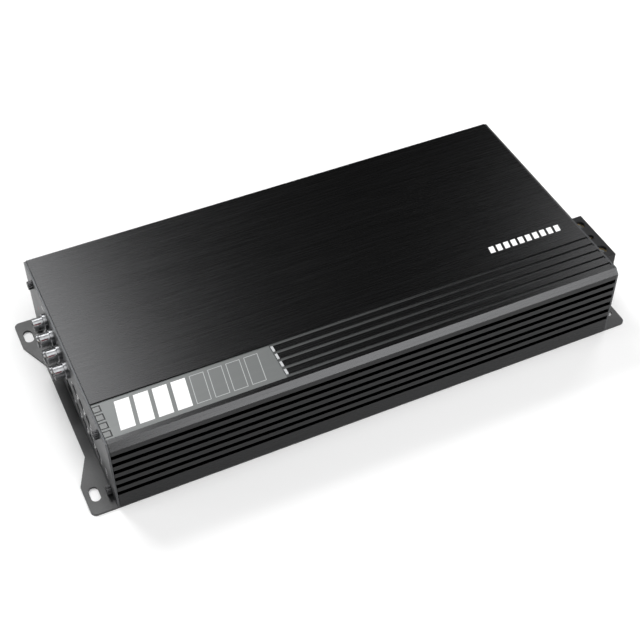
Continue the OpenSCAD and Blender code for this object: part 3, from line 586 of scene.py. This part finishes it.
def finish_piece(mesh: bmesh.types.BMesh, name: str, body: str, sharp: float = 38.0) -> bpy.types.Object:
    """Turn a bmesh into a shown piece that rides on a body.

    Args:
        mesh: The shape, in the frame's coordinates. It is freed.
        name: The piece's name.
        body: The CAD body that it rides on.
        sharp: Edges that turn by more than this many degrees stay sharp.

    Returns:
        The new object, at the origin.
    """
    data = bpy.data.meshes.new(name)
    mesh.to_mesh(data)
    mesh.free()
    data.shade_smooth()
    data.set_sharp_from_angle(angle=math.radians(sharp))
    piece = bpy.data.objects.new(name, data)
    bpy.context.scene.collection.objects.link(piece)
    weighted = piece.modifiers.new("weighted_normals", "WEIGHTED_NORMAL")
    weighted.keep_sharp = True
    weighted.weight = 80
    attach(piece, body)
    LOG.info("piece %s: %d faces, rides on %s", name, len(data.polygons), body)
    return piece


def ease_edges(mesh: bmesh.types.BMesh, width: float, segments: int = 2, angle: float = 32.0) -> None:
    """Round every edge that turns by more than an angle.

    Args:
        mesh: The shape that is changed.
        width: Width of the rounding.
        segments: Faces across the rounding.
        angle: Smallest turn in degrees that counts as an edge.
    """
    edges = [e for e in mesh.edges if len(e.link_faces) == 2 and e.calc_face_angle(0.0) > math.radians(angle)]
    bmesh.ops.bevel(mesh, geom=edges, offset=width, offset_type="OFFSET", segments=segments, profile=0.5,
                    affect="EDGES", clamp_overlap=True, material=-1)


def eased_copy(node: str, width: float, body: str = CASE, segments: int = 2) -> bpy.types.Object:
    """Replace a CAD node with a merged copy whose edges are slightly rounded.

    Args:
        node: The CAD node.
        width: Width of the rounding, or 0 for none.
        body: The CAD body that the node rides on.
        segments: Faces across the rounding.

    Returns:
        The new piece.
    """
    mesh = bmesh.new()
    mesh.from_mesh(frame["nodes"][node].data)
    bmesh.ops.remove_doubles(mesh, verts=mesh.verts, dist=mm(0.001))
    bmesh.ops.dissolve_limit(mesh, angle_limit=math.radians(0.6), verts=mesh.verts, edges=mesh.edges)
    if width > 0:
        ease_edges(mesh, width, segments)
    piece = finish_piece(mesh, f"{node}_finished", body)
    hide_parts(node)
    return piece


def add_plate(mesh: bmesh.types.BMesh, corners: Sequence[tuple[float, float]], low: float, thick: float,
              rim: float = 0.0) -> None:
    """Add a thin flat plate with a straight-sided outline, drawn in X and Y.

    Args:
        mesh: The shape that it joins.
        corners: Outline, anticlockwise.
        low: Height of its underside.
        thick: Its thickness.
        rim: Width of the frame that is left when the middle is open, or 0 for a solid plate.
    """
    part = bmesh.new()
    verts = [part.verts.new((x, y, low)) for x, y in corners]
    face = part.faces.new(verts)
    face.normal_update()
    if rim > 0:
        bmesh.ops.inset_region(part, faces=[face], thickness=rim, use_even_offset=True,
                               use_boundary=True)
        middle = max(part.faces, key=lambda f: f.calc_area())
        bmesh.ops.delete(part, geom=[middle], context="FACES")
    grown = bmesh.ops.extrude_face_region(part, geom=part.faces[:])["geom"]
    bmesh.ops.translate(part, verts=[g for g in grown if isinstance(g, bmesh.types.BMVert)], vec=(0, 0, thick))
    bmesh.ops.recalc_face_normals(part, faces=part.faces)
    join(mesh, part)


def turned(mesh: bmesh.types.BMesh, profile: Sequence[tuple[float, float]], place: Matrix, steps: int) -> None:
    """Add a turned shape, spun from a profile of radius and height.

    Args:
        mesh: The shape that it joins.
        profile: Points as (radius, height), from the bottom of the axis to its top.
        place: Where the shape's axis and foot go.
        steps: Faces round the axis.
    """
    part = bmesh.new()
    verts = [part.verts.new((r, 0, z)) for r, z in profile]
    edges = [part.edges.new(pair) for pair in zip(verts, verts[1:])]
    bmesh.ops.spin(part, geom=verts + edges, cent=(0, 0, 0), axis=(0, 0, 1), angle=math.tau, steps=steps,
                   use_merge=True)
    bmesh.ops.remove_doubles(part, verts=part.verts, dist=mm(0.0005))
    bmesh.ops.recalc_face_normals(part, faces=part.faces)
    bmesh.ops.transform(part, matrix=place, verts=part.verts)
    join(mesh, part)


def join(mesh: bmesh.types.BMesh, part: bmesh.types.BMesh) -> None:
    """Add one bmesh to another and free it."""
    data = bpy.data.meshes.new("joined")
    part.to_mesh(data)
    part.free()
    mesh.from_mesh(data)
    bpy.data.meshes.remove(data)


def aim(origin: Vector, direction: Vector) -> Matrix:
    """Return a transform that puts +Z along a direction at a place."""
    return Matrix.Translation(origin) @ direction.to_track_quat("Z", "Y").to_matrix().to_4x4()


# ---------------------------------------------------------------- sub-assemblies


@dataclass
class Case:
    """The extrusion, end plates and base plate."""

    body_edge: float = mm(0.22)
    plate_edge: float = mm(0.15)
    base_edge: float = mm(0.3)

    def build(self) -> None:
        """Make and dress the case."""
        PAINTS.dress_with(eased_copy("heatsink_body", self.body_edge), self._anodising())
        for node in ("left_end_plate", "right_end_plate"):
            PAINTS.dress(eased_copy(node, self.plate_edge), Paint.PLATE)
        PAINTS.dress(eased_copy("base_plate", self.base_edge), Paint.BASE)


    def _anodising(self) -> Extrusion:
        """Return the extrusion's finish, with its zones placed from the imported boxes."""
        low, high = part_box("heatsink_body")
        badge_low, badge_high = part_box("badge_panel")
        gap = mm(0.12)
        return Extrusion("brushed_black_anodising", (0.0345, 0.0348, 0.0355), (0.110, 0.114, 0.114),
                         (0.55, 0.56, 0.57), badge_high.z, (badge_low.y - gap, badge_high.y + gap),
                         badge_high.x + gap, mm(190.0), high.y - mm(0.45), (mm(11.8), high.z - mm(6.8)))


@dataclass
class Badge:
    """The badge panel, its printed bars, the status windows and the plain mark on the top."""

    print_thick: float = mm(0.03)
    solid_bars: int = 4
    outlined_bars: int = 4
    print_start: float = mm(9.6)
    print_margin: float = mm(2.9)
    print_depth: float = mm(21.0)
    bar_w: float = mm(8.6)
    bar_gap: float = mm(2.4)
    slant: float = mm(3.0)
    line: float = mm(0.4)
    dash_count: int = 10
    windows: int = 4
    window_pitch: float = mm(6.34)
    window_gap: float = mm(0.2)
    window_shadow_line: float = mm(0.5)

    def build(self) -> None:
        """Make and dress the badge."""
        PAINTS.dress(eased_copy("badge_panel", mm(0.08)), Paint.BADGE)
        PAINTS.dress(eased_copy("status_windows", mm(0.05)), Paint.WINDOW)
        PAINTS.dress(frame["nodes"]["status_leds"], Paint.LED)
        PAINTS.dress(frame["nodes"]["status_board"], Paint.BOARD)
        self._window_shadows()
        low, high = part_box("badge_panel")
        back = high.y - self.print_margin
        start = low.x + self.print_start
        end = self._bars("badge_solid_bars", self.solid_bars, start, back, high.z, 0.0)
        self._bars("badge_outlined_bars", self.outlined_bars, end, back, high.z, self.line)
        self._mark()

    def _window_shadows(self) -> None:
        """Paint a black line along three sides of every status window, a painted shadow in the gap round it."""
        low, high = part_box("status_windows")
        mesh = bmesh.new()
        deep = (high.y - low.y - (self.windows - 1) * self.window_pitch) + 2 * self.window_gap
        end = high.x + self.window_gap
        for i in range(self.windows):
            y0 = low.y - self.window_gap + i * self.window_pitch
            y1 = y0 + deep
            edge = self.window_shadow_line
            for x_low, y_low, x_high, y_high in ((low.x, y0 - edge, end + edge, y0), (low.x, y1, end + edge, y1 + edge),
                                                 (end, y0, end + edge, y1)):
                add_plate(mesh, rectangle(x_low, y_low, x_high, y_high), high.z, self.print_thick * 0.5)
        # Painted shadow along the window gaps.
        PAINTS.dress(finish_piece(mesh, "window_painted_shadows", CASE), Paint.SHADOW_INK)

    def _bars(self, name: str, count: int, start: float, back: float, top: float, rim: float) -> float:
        """Print a row of equal slanted bars.

        Args:
            name: The piece's name.
            count: Number of bars.
            start: Left end of the row.
            back: Rear edge of the row.
            top: Height of the surface that is printed.
            rim: Line width of outlined bars, or 0 for solid ones.

        Returns:
            Where the next bar would start.
        """
        mesh = bmesh.new()
        front = back - self.print_depth
        for i in range(count):
            x = start + i * (self.bar_w + self.bar_gap)
            add_plate(mesh, slanted(x, front, x + self.bar_w, back, self.slant), top, self.print_thick, rim)
        piece = finish_piece(mesh, name, CASE)
        PAINTS.dress(piece, Paint.INK if rim == 0 else Paint.GREY_INK)
        return start + count * (self.bar_w + self.bar_gap)

    def _mark(self, length: float = mm(52.0), tall: float = mm(5.4)) -> None:
        """Print a plain row of equal slanted dashes near the right end of the top."""
        low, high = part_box("heatsink_body")
        mesh = bmesh.new()
        x0 = high.x - mm(61.5)
        y0 = low.y + mm(46.0)
        pitch = length / self.dash_count
        for i in range(self.dash_count):
            x = x0 + i * pitch
            add_plate(mesh, slanted(x, y0, x + 0.66 * pitch, y0 + tall, mm(1.0)), high.z, self.print_thick * 0.5)
        PAINTS.dress(finish_piece(mesh, "plain_top_mark", CASE), Paint.INK)


def slanted(x0: float, y0: float, x1: float, y1: float, lean: float) -> list[tuple[float, float]]:
    """Return a bar's corners, anticlockwise, with its rear edge moved along by a lean."""
    return [(x0, y0), (x1, y0), (x1 + lean, y1), (x0 + lean, y1)]


def rectangle(x0: float, y0: float, x1: float, y1: float) -> list[tuple[float, float]]:
    """Return a rectangle's corners, anticlockwise."""
    return [(x0, y0), (x1, y0), (x1, y1), (x0, y1)]


@dataclass
class EndPlateScrews:
    """Knurled socket-head cap screws, four at each end."""

    head_d: float = mm(5.5)
    head_h: float = mm(3.0)
    shank_d: float = mm(3.0)
    shank_l: float = mm(8.0)
    socket_af: float = mm(2.5)
    socket_depth: float = mm(1.5)
    knurls: int = 15
    flute: float = 0.11
    bevel: float = mm(0.28)

    def build(self) -> None:
        """Make all screws as one piece in the places of their CAD node."""
        mesh = bmesh.new()
        for place, outward in self._seats():
            part = self._screw()
            bmesh.ops.transform(part, matrix=aim(place, outward), verts=part.verts)
            join(mesh, part)
        piece = finish_piece(mesh, "end_plate_cap_screws", CASE, 30.0)
        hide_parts("end_plate_screws")
        PAINTS.dress(piece, Paint.BLACK_SCREW)

    def _seats(self) -> list[tuple[Vector, Vector]]:
        """Return each screw's seat on an end plate and the way its head points."""
        low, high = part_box("end_plate_screws")
        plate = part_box("left_end_plate")[0].x
        seats = []
        half = self.head_d / 2
        inner_y = high.y - half
        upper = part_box("heatsink_body")[1].z - mm(6.8)
        for side in (-1, 1):
            for y, z in ((inner_y - mm(6.8), upper), (inner_y, low.z + half)):
                for flank in (-1, 1):
                    seats.append((Vector((-side * plate, flank * y, z)), Vector((side, 0, 0))))
        return seats

    def _screw(self) -> bmesh.types.BMesh:
        """Return one screw with its head above z = 0 and its shank below."""
        part = bmesh.new()
        steps = self.knurls * 6
        bmesh.ops.create_circle(part, cap_ends=True, segments=steps, radius=self.head_d / 2)
        face = part.faces[:][0]
        rings = [(0.12, 1.0), (self.head_h / mm(1) - 0.3, 1.0), (self.head_h / mm(1), 1 - 2 * self.bevel / self.head_d)]
        for height, scale in rings:
            face = self._raise_face(part, face, mm(height), scale)
        self._flute(part)
        rim = self._raise_face(part, face, self.head_h, self.socket_af * 1.16 / self.head_d)
        self._hexagon(rim)
        self._raise_face(part, rim, self.head_h - self.socket_depth, None)
        bmesh.ops.recalc_face_normals(part, faces=part.faces)
        shank = [(0.0, -self.shank_l), (self.shank_d / 2 - mm(0.3), -self.shank_l),
                 (self.shank_d / 2, -self.shank_l + mm(0.3)), (self.shank_d / 2, -mm(0.01)), (0.0, -mm(0.01))]
        turned(part, shank, Matrix.Identity(4), 24)
        return part

    def _raise_face(self, part: bmesh.types.BMesh, face: bmesh.types.BMFace, height: float,
                    scale: float | None) -> bmesh.types.BMFace:
        """Extrude a cap to a height, at a share of the head's radius, and return the new cap."""
        result = bmesh.ops.extrude_face_region(part, geom=[face])["geom"]
        cap = next(g for g in result if isinstance(g, bmesh.types.BMFace))
        if face.is_valid and any(len(edge.link_faces) > 2 for edge in face.edges):
            bmesh.ops.delete(part, geom=[face], context="FACES_ONLY")
        for vert in cap.verts:
            vert.co.z = height
            if scale is not None:
                flat = Vector((vert.co.x, vert.co.y, 0)).normalized() * self.head_d / 2 * scale
                vert.co.x, vert.co.y = flat.x, flat.y
        return cap

    def _flute(self, part: bmesh.types.BMesh) -> None:
        """Press the knurling into the side of the head."""
        for vert in part.verts:
            turn = math.atan2(vert.co.y, vert.co.x) * self.knurls
            if mm(0.05) < vert.co.z < self.head_h - mm(0.2):
                shrink = 1 - self.flute * (0.5 + 0.5 * math.cos(turn))
                vert.co.x *= shrink
                vert.co.y *= shrink

    def _hexagon(self, cap: bmesh.types.BMFace) -> None:
        """Move a round ring of vertices onto the outline of the hexagonal socket."""
        for vert in cap.verts:
            turn = math.atan2(vert.co.y, vert.co.x)
            local = (turn % math.radians(60)) - math.radians(30)
            radius = self.socket_af / 2 / math.cos(local)
            vert.co.x, vert.co.y = radius * math.cos(turn), radius * math.sin(turn)


@dataclass
class PhonoJack:
    """The shells of the phono jacks: a turned collar and a thin barrel with four slots from its tip."""

    barrel_r: float = mm(4.15)
    wall: float = mm(0.65)
    collar_r: float = mm(5.2)
    collar_end: float = mm(4.7)
    slot_start: float = mm(6.3)
    pitch: float = mm(14.1)
    upper_count: int = 4
    lower_count: int = 3
    slots: int = 4
    steps: int = 64
    edge: float = mm(0.05)

    def build(self) -> None:
        """Make every shell as one piece in the places of their CAD node."""
        low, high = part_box("rca_shells")
        mesh = bmesh.new()
        for count, z in ((self.upper_count, high.z - self.collar_r), (self.lower_count, low.z + self.collar_r)):
            for i in range(count):
                foot = Vector((high.x, high.y - self.collar_r - i * self.pitch, z))
                part = self._shell(high.x - low.x)
                bmesh.ops.transform(part, matrix=aim(foot, Vector((-1, 0, 0))), verts=part.verts)
                join(mesh, part)
        piece = finish_piece(mesh, "phono_jack_shells", CASE, 34.0)
        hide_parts("rca_shells")
        PAINTS.dress(piece, Paint.SHELL)

    def _shell(self, length: float) -> bmesh.types.BMesh:
        """Return one shell that stands on z = 0.

        Args:
            length: Its whole length, collar and barrel.

        Returns:
            The shell.
        """
        part = self._barrel(length)
        bore = self.barrel_r - self.wall
        edge = 4 * self.edge
        turned(part, [(bore, 0.0), (self.collar_r, 0.0), (self.collar_r, self.collar_end - edge),
                      (self.collar_r - edge, self.collar_end), (bore, self.collar_end), (bore, 0.0)],
               Matrix.Identity(4), self.steps)
        return part

    def _barrel(self, length: float) -> bmesh.types.BMesh:
        """Return the slotted barrel, from inside the collar to the tip."""
        part = bmesh.new()
        bmesh.ops.create_circle(part, segments=self.steps, radius=self.barrel_r)
        bmesh.ops.translate(part, verts=part.verts, vec=(0, 0, self.collar_end - self.wall))
        rim = part.edges[:]
        for top in (self.slot_start, length):
            grown = bmesh.ops.extrude_edge_only(part, edges=rim)["geom"]
            rim = [g for g in grown if isinstance(g, bmesh.types.BMEdge)]
            for vert in (g for g in grown if isinstance(g, bmesh.types.BMVert)):
                vert.co.z = top
        quarter = math.tau / self.slots
        cut = []
        for face in part.faces:
            middle = face.calc_center_median()
            away = (math.atan2(middle.y, middle.x) - quarter / 2) % quarter
            if middle.z > self.slot_start and min(away, quarter - away) < math.tau / self.steps:
                cut.append(face)
        bmesh.ops.delete(part, geom=cut, context="FACES")
        bmesh.ops.recalc_face_normals(part, faces=part.faces)
        bmesh.ops.solidify(part, geom=part.faces[:], thickness=self._inward(part))
        bmesh.ops.recalc_face_normals(part, faces=part.faces)
        ease_edges(part, self.edge, 2, 50.0)
        return part

    def _inward(self, part: bmesh.types.BMesh) -> float:
        """Return the wall's thickness with the sign that keeps it inside the barrel."""
        face = part.faces[:][0]
        middle = face.calc_center_median()
        return self.wall if face.normal.dot(Vector((middle.x, middle.y, 0))) > 0 else -self.wall


@dataclass
class SignalPanel:
    """The jacks, the level port and the controls on the left end plate, with their legends."""

    controls: tuple[str, ...] = ("front_gain", "rear_gain", "sub_gain", "front_filter", "rear_filter",
                                 "sub_filter", "bass_level")
    ink: float = mm(0.02)
    tick: float = mm(2.2)
    tick_wide: float = mm(1.3)
    tick_ring: float = mm(5.3)

    def build(self) -> None:
        """Make and dress the signal end."""
        PhonoJack().build()
        PAINTS.dress(eased_copy("rca_red_insulators", mm(0.15)), Paint.RED)
        PAINTS.dress(eased_copy("rca_white_insulators", mm(0.15)), Paint.WHITE)
        PAINTS.dress(eased_copy("rca_contacts", mm(0.06)), Paint.GOLD)
        PAINTS.dress(eased_copy("level_port", mm(0.12)), Paint.NYLON)
        PAINTS.dress(frame["nodes"]["level_port_contacts"], Paint.GOLD)
        PAINTS.dress(frame["nodes"]["rca_jack_block"], Paint.NYLON)
        PAINTS.dress(frame["nodes"]["control_pot_bodies"], Paint.POT)
        for name in self.controls:
            PAINTS.dress(eased_copy(f"{name}_knob", mm(0.1), f"{name}_control"), Paint.KNOB)
        self._legends()

    def _legends(self) -> None:
        """Print ticks round every control, dashes over the jacks, more dashes beside them and a red dash."""
        mesh = bmesh.new()
        for name in self.controls:
            low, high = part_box(f"{name}_knob")
            y, z = (low.y + high.y) / 2, (low.z + high.z) / 2
            for degrees in (-125, -80, 80, 125):
                turn = math.radians(degrees)
                self._dash(mesh, y - self.tick_ring * math.sin(turn), z + self.tick_ring * math.cos(turn),
                           self.tick_wide, self.tick, turn)
        low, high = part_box("rca_shells")
        for share in (0.0, 1.0):
            self._dash(mesh, low.y + share * (high.y - low.y), high.z + mm(1.4), mm(4.0), mm(0.8), 0.0)
        for row in range(4):
            self._dash(mesh, low.y - mm(57.5), mm(11.5 + 2.2 * row), mm(2.6), mm(0.8), 0.0)
        PAINTS.dress(finish_piece(mesh, "end_plate_legends", CASE), Paint.INK)
        mesh = bmesh.new()
        self._dash(mesh, high.y + mm(17.0), mm(29.5), mm(2.4), mm(1.0), 0.0)
        PAINTS.dress(finish_piece(mesh, "end_plate_red_dash", CASE), Paint.RED_INK)

    def _dash(self, mesh: bmesh.types.BMesh, y: float, z: float, wide: float, tall: float, turn: float) -> None:
        """Add one printed dash on the outer face of the left end plate."""
        part = bmesh.new()
        add_plate(part, rectangle(-wide / 2, -tall / 2, wide / 2, tall / 2), 0.0, self.ink)
        face_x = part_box("left_end_plate")[0].x
        stand = Matrix(((0, 0, -1, face_x), (-1, 0, 0, y), (0, 1, 0, z), (0, 0, 0, 1)))
        bmesh.ops.transform(part, matrix=stand @ Matrix.Rotation(turn, 4, "Z"), verts=part.verts)
        join(mesh, part)


@dataclass
class PowerEnd:
    """The power and speaker terminals on the right end plate."""

    terminals: tuple[str, ...] = ("supply", "remote", "ground")
    ink: float = mm(0.02)

    def build(self) -> None:
        """Make and dress the power end."""
        PAINTS.dress(eased_copy("power_terminal_housing", mm(0.3)), Paint.NYLON)
        PAINTS.dress(eased_copy("power_terminal_contacts", mm(0.15)), Paint.BRASS)
        PAINTS.dress(eased_copy("speaker_terminal_housing", mm(0.2)), Paint.NYLON)
        PAINTS.dress(eased_copy("speaker_terminal_contacts", mm(0.1)), Paint.BRASS)
        PAINTS.dress(eased_copy("speaker_clamp_screws", mm(0.08)), Paint.STEEL)
        for name in self.terminals:
            PAINTS.dress(eased_copy(f"{name}_clamp_screw", mm(0.12), f"{name}_screw"), Paint.STEEL)
            PAINTS.dress(eased_copy(f"{name}_clamp_pad", mm(0.1), f"{name}_pad"), Paint.BRASS)
        self._legends()

    def _legends(self) -> None:
        """Print a dash over each terminal on the right end plate."""
        mesh = bmesh.new()
        face_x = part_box("right_end_plate")[1].x
        stand = Matrix(((0, 0, 1, face_x), (1, 0, 0, 0), (0, 1, 0, 0), (0, 0, 0, 1)))
        part = bmesh.new()
        low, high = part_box("speaker_terminal_housing")
        count = len(self._speaker_places())
        for y in self._speaker_places():
            add_plate(part, rectangle(y - mm(0.35), high.z + mm(1.6), y + mm(0.35), high.z + mm(3.2)), 0.0, self.ink)
        for pair in range(count // 2):
            left = self._speaker_places()[2 * pair]
            add_plate(part, rectangle(left - mm(0.35), high.z + mm(4.0), left + mm(6.7), high.z + mm(4.5)),
                      0.0, self.ink)
        low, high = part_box("power_terminal_housing")
        for name in self.terminals:
            screw_low, screw_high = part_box(f"{name}_clamp_screw")
            y = (screw_low.y + screw_high.y) / 2
            add_plate(part, rectangle(y - mm(2.0), mm(20.6), y + mm(2.0), mm(21.4)), 0.0, self.ink)
        bmesh.ops.transform(part, matrix=stand, verts=part.verts)
        join(mesh, part)
        PAINTS.dress(finish_piece(mesh, "terminal_legends", CASE), Paint.INK)

    def _speaker_places(self) -> list[float]:
        """Return the middle of each speaker terminal along Y."""
        low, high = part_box("speaker_clamp_screws")
        half = mm(2.0)
        count = 10
        first, last = low.y + half, high.y - half
        return [first + i * (last - first) / (count - 1) for i in range(count)]


@dataclass
class Coil:
    """Turns of enamelled wire round a ring core."""

    winding: str
    wire: float
    turns: int
    layers_gap: float = mm(0.15)

    def build(self) -> None:
        """Wind every coil of the node: each solid half-ring becomes separate turns."""
        mesh = bmesh.new()
        for centre, inner, outer, low, high in self._rings():
            for half in (0, 1):
                for i in range(self.turns):
                    angle = math.radians(10 + 180 * half + 160 * (i + 0.5) / self.turns)
                    self._turn(mesh, centre, angle, inner, outer, low, high)
        piece = finish_piece(mesh, f"{self.winding}_wound", CASE, 60.0)
        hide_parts(self.winding)
        PAINTS.dress(piece, Paint.COPPER)

    def _rings(self) -> list[tuple[Vector, float, float, float, float]]:
        """Return centre, inner and outer radius, and lowest and highest point of each coil."""
        low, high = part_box(self.winding)
        depth = high.y - low.y
        count = max(1, round((high.x - low.x - depth) / mm(33.0)) + 1)
        pitch = 0.0 if count == 1 else mm(33.0)
        first = (low.x + high.x) / 2 - pitch * (count - 1) / 2
        y = (low.y + high.y) / 2
        pad = mm(3.0) if count == 1 else mm(2.0)
        outer = depth / 2
        inner = outer / 2 - pad
        return [(Vector((first + i * pitch, y, 0)), inner, outer, low.z, high.z) for i in range(count)]

    def _turn(self, mesh: bmesh.types.BMesh, centre: Vector, angle: float, inner: float, outer: float,
              low: float, high: float) -> None:
        """Add one closed turn of wire, a rounded rectangle that stands across the core."""
        r = self.wire / 2
        bend = min(0.3 * (outer - inner), 0.3 * (high - low))
        corners = [(outer - r - bend, low + r + bend, -90), (outer - r - bend, high - r - bend, 0),
                   (inner + r + bend, high - r - bend, 90), (inner + r + bend, low + r + bend, 180)]
        path = []
        for x, z, start in corners:
            for k in range(4):
                a = math.radians(start + 30 * k)
                path.append((x + bend * math.cos(a), z + bend * math.sin(a)))
        part = bmesh.new()
        rings = []
        for (x, z), (xa, za), (xb, zb) in zip(path, path[-1:] + path[:-1], path[1:] + path[:1]):
            along = Vector((xb - xa, 0, zb - za)).normalized()
            ring = bmesh.ops.create_circle(part, segments=6, radius=r,
                                           matrix=aim(Vector((x, 0, z)), along))["verts"]
            rings.append([e for e in {e for v in ring for e in v.link_edges}])
        for first, second in zip(rings, rings[1:] + rings[:1]):
            bmesh.ops.bridge_loops(part, edges=first + second)
        bmesh.ops.recalc_face_normals(part, faces=part.faces)
        place = Matrix.Translation(centre) @ Matrix.Rotation(angle, 4, "Z")
        bmesh.ops.transform(part, matrix=place, verts=part.verts)
        join(mesh, part)


@dataclass
class Electronics:
    """Everything inside the case."""

    plain: dict[str, Paint] = field(default_factory=lambda: {
        "insulating_sheet": Paint.PAPER, "main_board": Paint.BOARD, "board_standoffs": Paint.BRASS,
        "control_board": Paint.BOARD, "board_header": Paint.NYLON, "transformer_core": Paint.FERRITE,
        "inductor_cores": Paint.FERRITE, "front_transistors": Paint.CHIP, "rear_transistors": Paint.CHIP,
        "front_thermal_strip": Paint.PAD, "rear_thermal_strip": Paint.PAD, "front_clamp_bar": Paint.MILL,
        "rear_clamp_bar": Paint.MILL, "signal_chips": Paint.CHIP})
    coils: tuple[Coil, ...] = (Coil("transformer_winding", mm(1.6), 16), Coil("inductor_windings", mm(1.1), 11))

    def build(self) -> None:
        """Make and dress the inside."""
        for node, paint in self.plain.items():
            PAINTS.dress(frame["nodes"][node], paint)
        for node in ("board_screws", "clamp_bar_screws"):
            PAINTS.dress(eased_copy(node, mm(0.06)), Paint.STEEL)
        PAINTS.dress(eased_copy("processor_cover", mm(0.2)), Paint.TIN)
        PAINTS.dress(eased_copy("base_screws", mm(0.05)), Paint.BLACK_SCREW)
        self._capacitors("input_capacitors", mm(18.0), (0.012, 0.022, 0.07))
        self._capacitors("rail_capacitors", mm(25.0), (0.014, 0.014, 0.016))
        for coil in self.coils:
            coil.build()

    def _capacitors(self, node: str, pitch: float, sleeve: Colour) -> None:
        """Make and dress one group of capacitors."""
        low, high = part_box(node)
        finish = Sleeved(f"{node}_sleeve", sleeve, (0.6, 0.62, 0.64), high.z - mm(0.5), pitch)
        PAINTS.dress_with(eased_copy(node, 0.0), finish)


# ---------------------------------------------------------------- studio


@dataclass(frozen=True)
class Softbox:
    """A rectangular lamp that faces a point."""

    name: str
    place: tuple[float, float, float]
    target: tuple[float, float, float]
    wide: float
    tall: float
    power: float

    def build(self) -> None:
        """Hang the lamp."""
        data = bpy.data.lights.new(self.name, "AREA")
        data.shape = "RECTANGLE"
        data.size = self.wide
        data.size_y = self.tall
        data.energy = self.power
        lamp = bpy.data.objects.new(self.name, data)
        lamp.location = self.place
        way = Vector(self.target) - Vector(self.place)
        lamp.rotation_euler = way.to_track_quat("-Z", "Y").to_euler()
        bpy.context.scene.collection.objects.link(lamp)


@dataclass
class Studio:
    """Floor, lamps, background and camera."""

    floor_half: float = 6.0
    surround: float = 0.05
    camera_place: tuple[float, float, float] = (-0.23465, -0.5073, 0.58435)
    heading: float = 24.852
    tilt: float = 46.051
    roll: float = -0.142
    lens: float = 71.12
    lamps: tuple[Softbox, ...] = (
        Softbox("overhead", (-0.1, -0.45, 1.9), (0.0, 0.0, 0.0), 1.5, 1.5, 23.0),
        Softbox("left", (-1.6, 0.35, 0.75), (0.0, 0.0, 0.0), 0.9, 0.9, 3.2),
        Softbox("back_left", (-0.30, 0.95, 1.15), (-0.1, 0.0, 0.05), 0.7, 0.62, 12.4),
        Softbox("back_right", (1.24, 0.8, 1.15), (0.1, 0.0, 0.05), 0.5, 0.5, 4.4),
        Softbox("front", (0.62, -1.28, 1.05), (0.0, 0.0, 0.05), 1.25, 0.5, 16.0),
    )

    def build(self) -> None:
        """Set up the studio."""
        mesh = bmesh.new()
        bmesh.ops.create_grid(mesh, x_segments=2, y_segments=2, size=self.floor_half)
        data = bpy.data.meshes.new("floor")
        mesh.to_mesh(data)
        mesh.free()
        floor = bpy.data.objects.new("floor", data)
        bpy.context.scene.collection.objects.link(floor)
        data.materials.append(Floor().material())
        for lamp in self.lamps:
            lamp.build()
        self._world()
        self._camera()

    def _world(self) -> None:
        """Fill the room with weak even light."""
        world = bpy.data.worlds.new("studio")
        world.use_nodes = True
        background = world.node_tree.nodes["Background"]
        background.inputs["Color"].default_value = (1.0, 1.0, 1.0, 1.0)
        background.inputs["Strength"].default_value = self.surround
        bpy.context.scene.world = world
        bpy.context.scene.view_settings.view_transform = "Standard"

    def _camera(self) -> None:
        """Place the camera, heading clockwise from +Y and tilted down."""
        data = bpy.data.cameras.new("camera")
        data.lens = self.lens
        data.sensor_width = 36.0
        data.clip_start = 0.05
        data.clip_end = 50.0
        camera = bpy.data.objects.new("camera", data)
        heading, tilt, roll = (math.radians(v) for v in (self.heading, self.tilt, self.roll))
        forward = Vector((math.sin(heading) * math.cos(tilt), math.cos(heading) * math.cos(tilt), -math.sin(tilt)))
        level = Vector((math.cos(heading), -math.sin(heading), 0.0))
        up = level.cross(forward)
        right = level * math.cos(roll) + up * math.sin(roll)
        top = up * math.cos(roll) - level * math.sin(roll)
        turn = Matrix((right, top, -forward)).transposed()
        camera.matrix_world = Matrix.Translation(self.camera_place) @ turn.to_4x4()
        bpy.context.scene.collection.objects.link(camera)
        bpy.context.scene.camera = camera


def main() -> None:
    """Build the amplifier's looks and the studio."""
    logging.basicConfig(level=logging.INFO, format="%(name)s: %(message)s")
    for part in (Studio(), Case(), Badge(), EndPlateScrews(), SignalPanel(), PowerEnd(), Electronics()):
        part.build()
        LOG.info("built %s", type(part).__name__)


if __name__ == "__main__":
    main()
